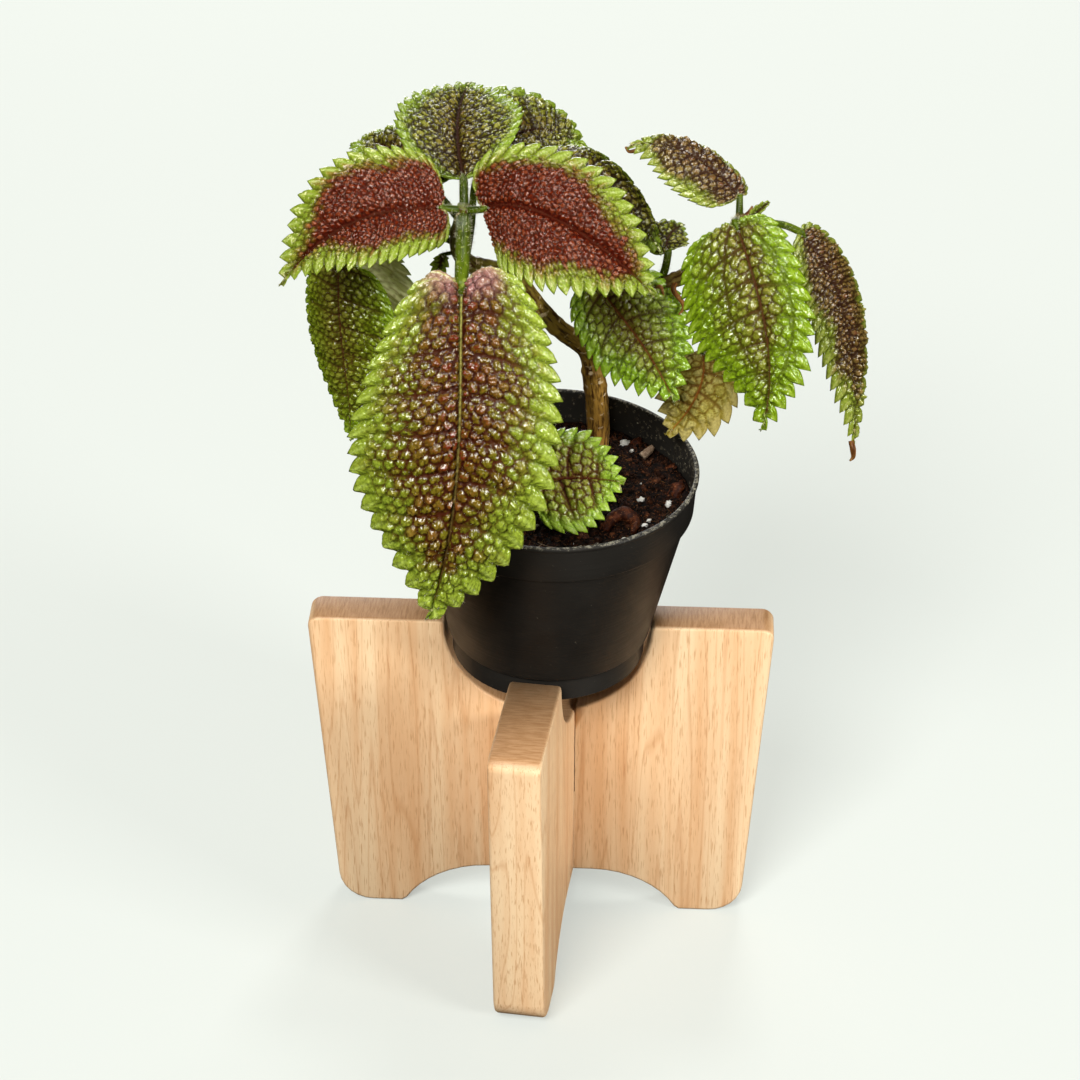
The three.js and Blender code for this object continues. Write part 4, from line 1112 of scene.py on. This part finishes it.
# single larger grains and chips: place from the pot's axis, half sizes, the way its long side points
loose = {
    "perlite": [((23.5, 37.5), (1.6, 1.1, 2.1), (1, 0.2, 0.2)), ((31.5, -1.5), (1.1, 1, 1.3), (1, 0, 0.5)),
                ((41.5, -1), (1.3, 1.1, 1.5), (0.6, 0, 1)), ((33.8, -15.5), (0.8, 0.7, 1), (1, 0, 0)),
                ((35.2, -12.2), (0.7, 0.5, 0.9), (1, 1, 0)), ((27.5, -26), (1.7, 1.2, 2.3), (1, 0.1, 0)),
                ((18.3, -31), (1.1, 0.8, 1.6), (1, 0.1, 0)), ((26.5, 31), (0.6, 0.6, 0.8), (1, 0, 1))],
    "redBark": [((27.5, 37), (1.8, 1.2, 2.8), (0.7, 0.3, 0.6)), ((44, 7), (2.6, 1.4, 4.2), (0.35, 1, 0.3)),
                ((41, 22), (2, 1.2, 2.6), (1, 0.2, 0.4))],
    "bark": [((10, 38), (2.2, 1.3, 3), (1, 0.3, 0.2)), ((12, -24), (2.4, 1.2, 3.4), (0.4, 1, 0.2)),
             ((-18, 12), (2.5, 1.5, 4), (1, 0.4, 0.1)), ((-24, -20), (2, 1.4, 3), (0.2, 1, 0.3)),
             ((2, 20), (1.9, 1.2, 2.6), (1, 1, 0.2)), ((36, 12), (1.6, 1, 2.2), (1, 0.3, 0.4))],
}
for material, grains in loose.items():
    for i, ((x, y), halfSizes, direction) in enumerate(grains):
        spot = onMix(np.array([x]), np.array([y]), 0.4)
        direction = np.array([direction], float) / math.hypot(*direction)
        grain = placeCopies(manyOf("grain", pebbleShape(3, i, 0.6), 1), 1, spot,
                            turned(direction, np.zeros(1)), np.array([halfSizes], float))
        finishPiece(grain, "large_" + material + "_" + str(i + 1), "potting_mix",
                    [mixMaterials[material]])


# curved pieces: places from the pot's axis with the height above the mix
curved = {
    "half_moon_bark": {
        "route": [(20.5, -20, 0.5), (22, -14.5, 1.2), (26.5, -12.2, 1.6), (30.5, -15, 1.4), (30, -22, 0.6)],
        "radii": (1.2, 2.2, 2.7, 2.3, 1), "material": "redBark",
    },
    "rolled_chip": {
        "route": [(30.5, 28, 0.8), (32.5, 29.8, 1.8), (34.2, 31.2, 3.2)],
        "radii": (1.6, 1.5, 0.9), "material": "paleBark",
    },
    "root_hair_1": {
        "route": [(-2.5, -30, 0.3), (-1, -33, 1.4), (1.5, -34, 1), (6, -33.5, 0.6)],
        "radii": (0.2, 0.16, 0.16, 0.1), "material": "paleBark",
    },
    "root_hair_2": {
        "route": [(-1, -33, 1.4), (-3, -36, 1.2), (1, -39, 0.8), (5, -40, 0.7)],
        "radii": (0.16, 0.14, 0.12, 0.1), "material": "paleBark",
    },
}
for bitName, bit in curved.items():
    route = [tuple(onMix(np.array([x]), np.array([y]), lift)[0]) for x, y, lift in bit["route"]]
    tube = makeTube(bitName, route, bit["radii"], 14, 0.4, lumps=0.12)
    finishPiece(tube, bitName, "potting_mix", [mixMaterials[bit["material"]]])


splashes = {
    "count": 760, "low": 66, "rise": 11.3, "sizes": (0.3, 1.2), "thickness": 0.18, "seed": 16,
    "wall": (64.1, 49.3), "flare": 0.6 / 12.9,
}


def makeSplashes():
    # dried mix splashed on the pot's inner wall, thickest near the mix
    rng = np.random.default_rng(splashes["seed"])
    count = splashes["count"]
    angle = rng.uniform(0, 2 * math.pi, count)
    height = splashes["low"] + splashes["rise"] * rng.uniform(0, 1, count) ** 1.3
    wallFoot, wallRadius = splashes["wall"]
    radius = wallRadius + splashes["flare"] * (height - wallFoot)
    outward = np.stack([np.cos(angle), np.sin(angle), np.zeros(count)], 1)
    size = rng.uniform(*splashes["sizes"], count)
    places = leaned(outward * radius[:, None] + np.outer(height, (0, 0, 1)))
    flat = np.stack([size * rng.uniform(0.5, 1.2, count), size, np.full(count, splashes["thickness"])], 1)
    mesh = placeCopies(manyOf("splashes", pebbleShape(1, 5), count), count, places,
                       turned(outward, rng.uniform(0, 6, count)), flat)
    finishPiece(mesh, "splashes", "pot", [mixMaterials["dust"]], smooth=False)


makeSplashes()
print("potting mix ready")


# boards

boards = {
    "pale": "#ebcca2", "golden": "#dcae7f", "pore": "#b37c4a", "line": "#b97a42",
    "ends": {  # how each board's end grain runs, and its two browns
        "side_board": ((1, 0.12, 1), "#a07a54", "#86603a"),
        "front_board": ((0.12, 1, 1), "#bd9268", "#a0744a"),
    },
}


def makeWoodMaterial(name, endLines, endPale, endDark):
    # golden faces with short fine upright pores and faint thin lines; browner end grain, lined across the board
    material, tree = startMaterial(name)
    place = addNode(tree, "TexCoord").outputs["Object"]
    stretched = addNode(tree, "Mapping", {"Vector": place, "Scale": (1, 1, 0.04)}).outputs[0]
    broad = addNode(tree, "TexNoise", {"Vector": stretched, "Scale": 1 / (7 * millimetre), "Detail": 4}).outputs[0]
    broad = addNode(tree, "MapRange", {0: broad, 1: 0.35, 2: 0.68}).outputs[0]
    colour = addNode(tree, "Mix", {0: broad, 6: toLinear(boards["pale"]), 7: toLinear(boards["golden"])},
                     data_type="RGBA").outputs[2]
    bent = addNode(tree, "TexNoise", {"Vector": stretched, "Scale": 1 / (14 * millimetre), "Detail": 1}).outputs[0]
    bent = addNode(tree, "Math", {0: bent, 1: 22}, operation="MULTIPLY").outputs[0]
    lines = addNode(tree, "Math", {0: bent, 1: 1}, operation="PINGPONG").outputs[0]
    lines = addNode(tree, "MapRange", {0: lines, 1: 0.8, 2: 1.0, 4: 0.34}).outputs[0]
    short = addNode(tree, "Mapping", {"Vector": place, "Scale": (1, 1, 0.06)}).outputs[0]
    pores = addNode(tree, "TexNoise", {"Vector": short, "Scale": 1 / (0.42 * millimetre), "Detail": 2}).outputs[0]
    dashes = addNode(tree, "MapRange", {0: pores, 1: 0.56, 2: 0.68, 4: 0.55}).outputs[0]
    across = addNode(tree, "Mapping", {"Vector": place, "Scale": endLines}).outputs[0]
    rays = addNode(tree, "TexNoise", {"Vector": across, "Scale": 1 / (0.8 * millimetre), "Detail": 4,
                                      "Roughness": 0.7}).outputs[0]
    rays = addNode(tree, "MapRange", {0: rays, 1: 0.4, 2: 0.66}).outputs[0]
    ends = addNode(tree, "Mix", {0: rays, 6: toLinear(endPale), 7: toLinear(endDark)}, data_type="RGBA").outputs[2]
    upward = addNode(tree, "SeparateXYZ", {0: addNode(tree, "NewGeometry").outputs["Normal"]}).outputs[2]
    upward = addNode(tree, "Math", {0: upward}, operation="ABSOLUTE").outputs[0]
    endGrain = addNode(tree, "MapRange", {0: upward, 1: 0.45, 2: 0.9}).outputs[0]
    line, pore = toLinear(boards["line"]), toLinear(boards["pore"])
    for share, over in ((lines, line), (dashes, pore), (endGrain, ends)):
        colour = addNode(tree, "Mix", {0: share, 6: colour, 7: over}, data_type="RGBA").outputs[2]
    bump = addNode(tree, "Bump", {"Strength": 0.4, "Distance": 0.15 * millimetre, "Height": pores}).outputs[0]
    return finishMaterial(material, {"Base Color": colour, "Roughness": 0.5, "Specular IOR Level": 0.3,
                                     "Normal": bump})


def makeBoards():
    for node, ends in boards["ends"].items():
        mesh = bpy.data.objects[node].data.copy()
        mesh.materials.clear()
        weld(mesh, 1e-6)
        wood = makeWoodMaterial("sanded rubberwood " + node.replace("_", " ") + ", clear satin", *ends)
        board = finishPiece(mesh, node + "_wood", node, [wood])
        board.matrix_world = bpy.data.objects[node].matrix_world
        mesh.set_sharp_from_angle(angle=math.radians(32))


makeBoards()
print("boards ready")

shown = [thing for thing in bpy.context.scene.objects if thing.type == "MESH" and not thing.hide_render]
print(len(shown), "meshes shown")
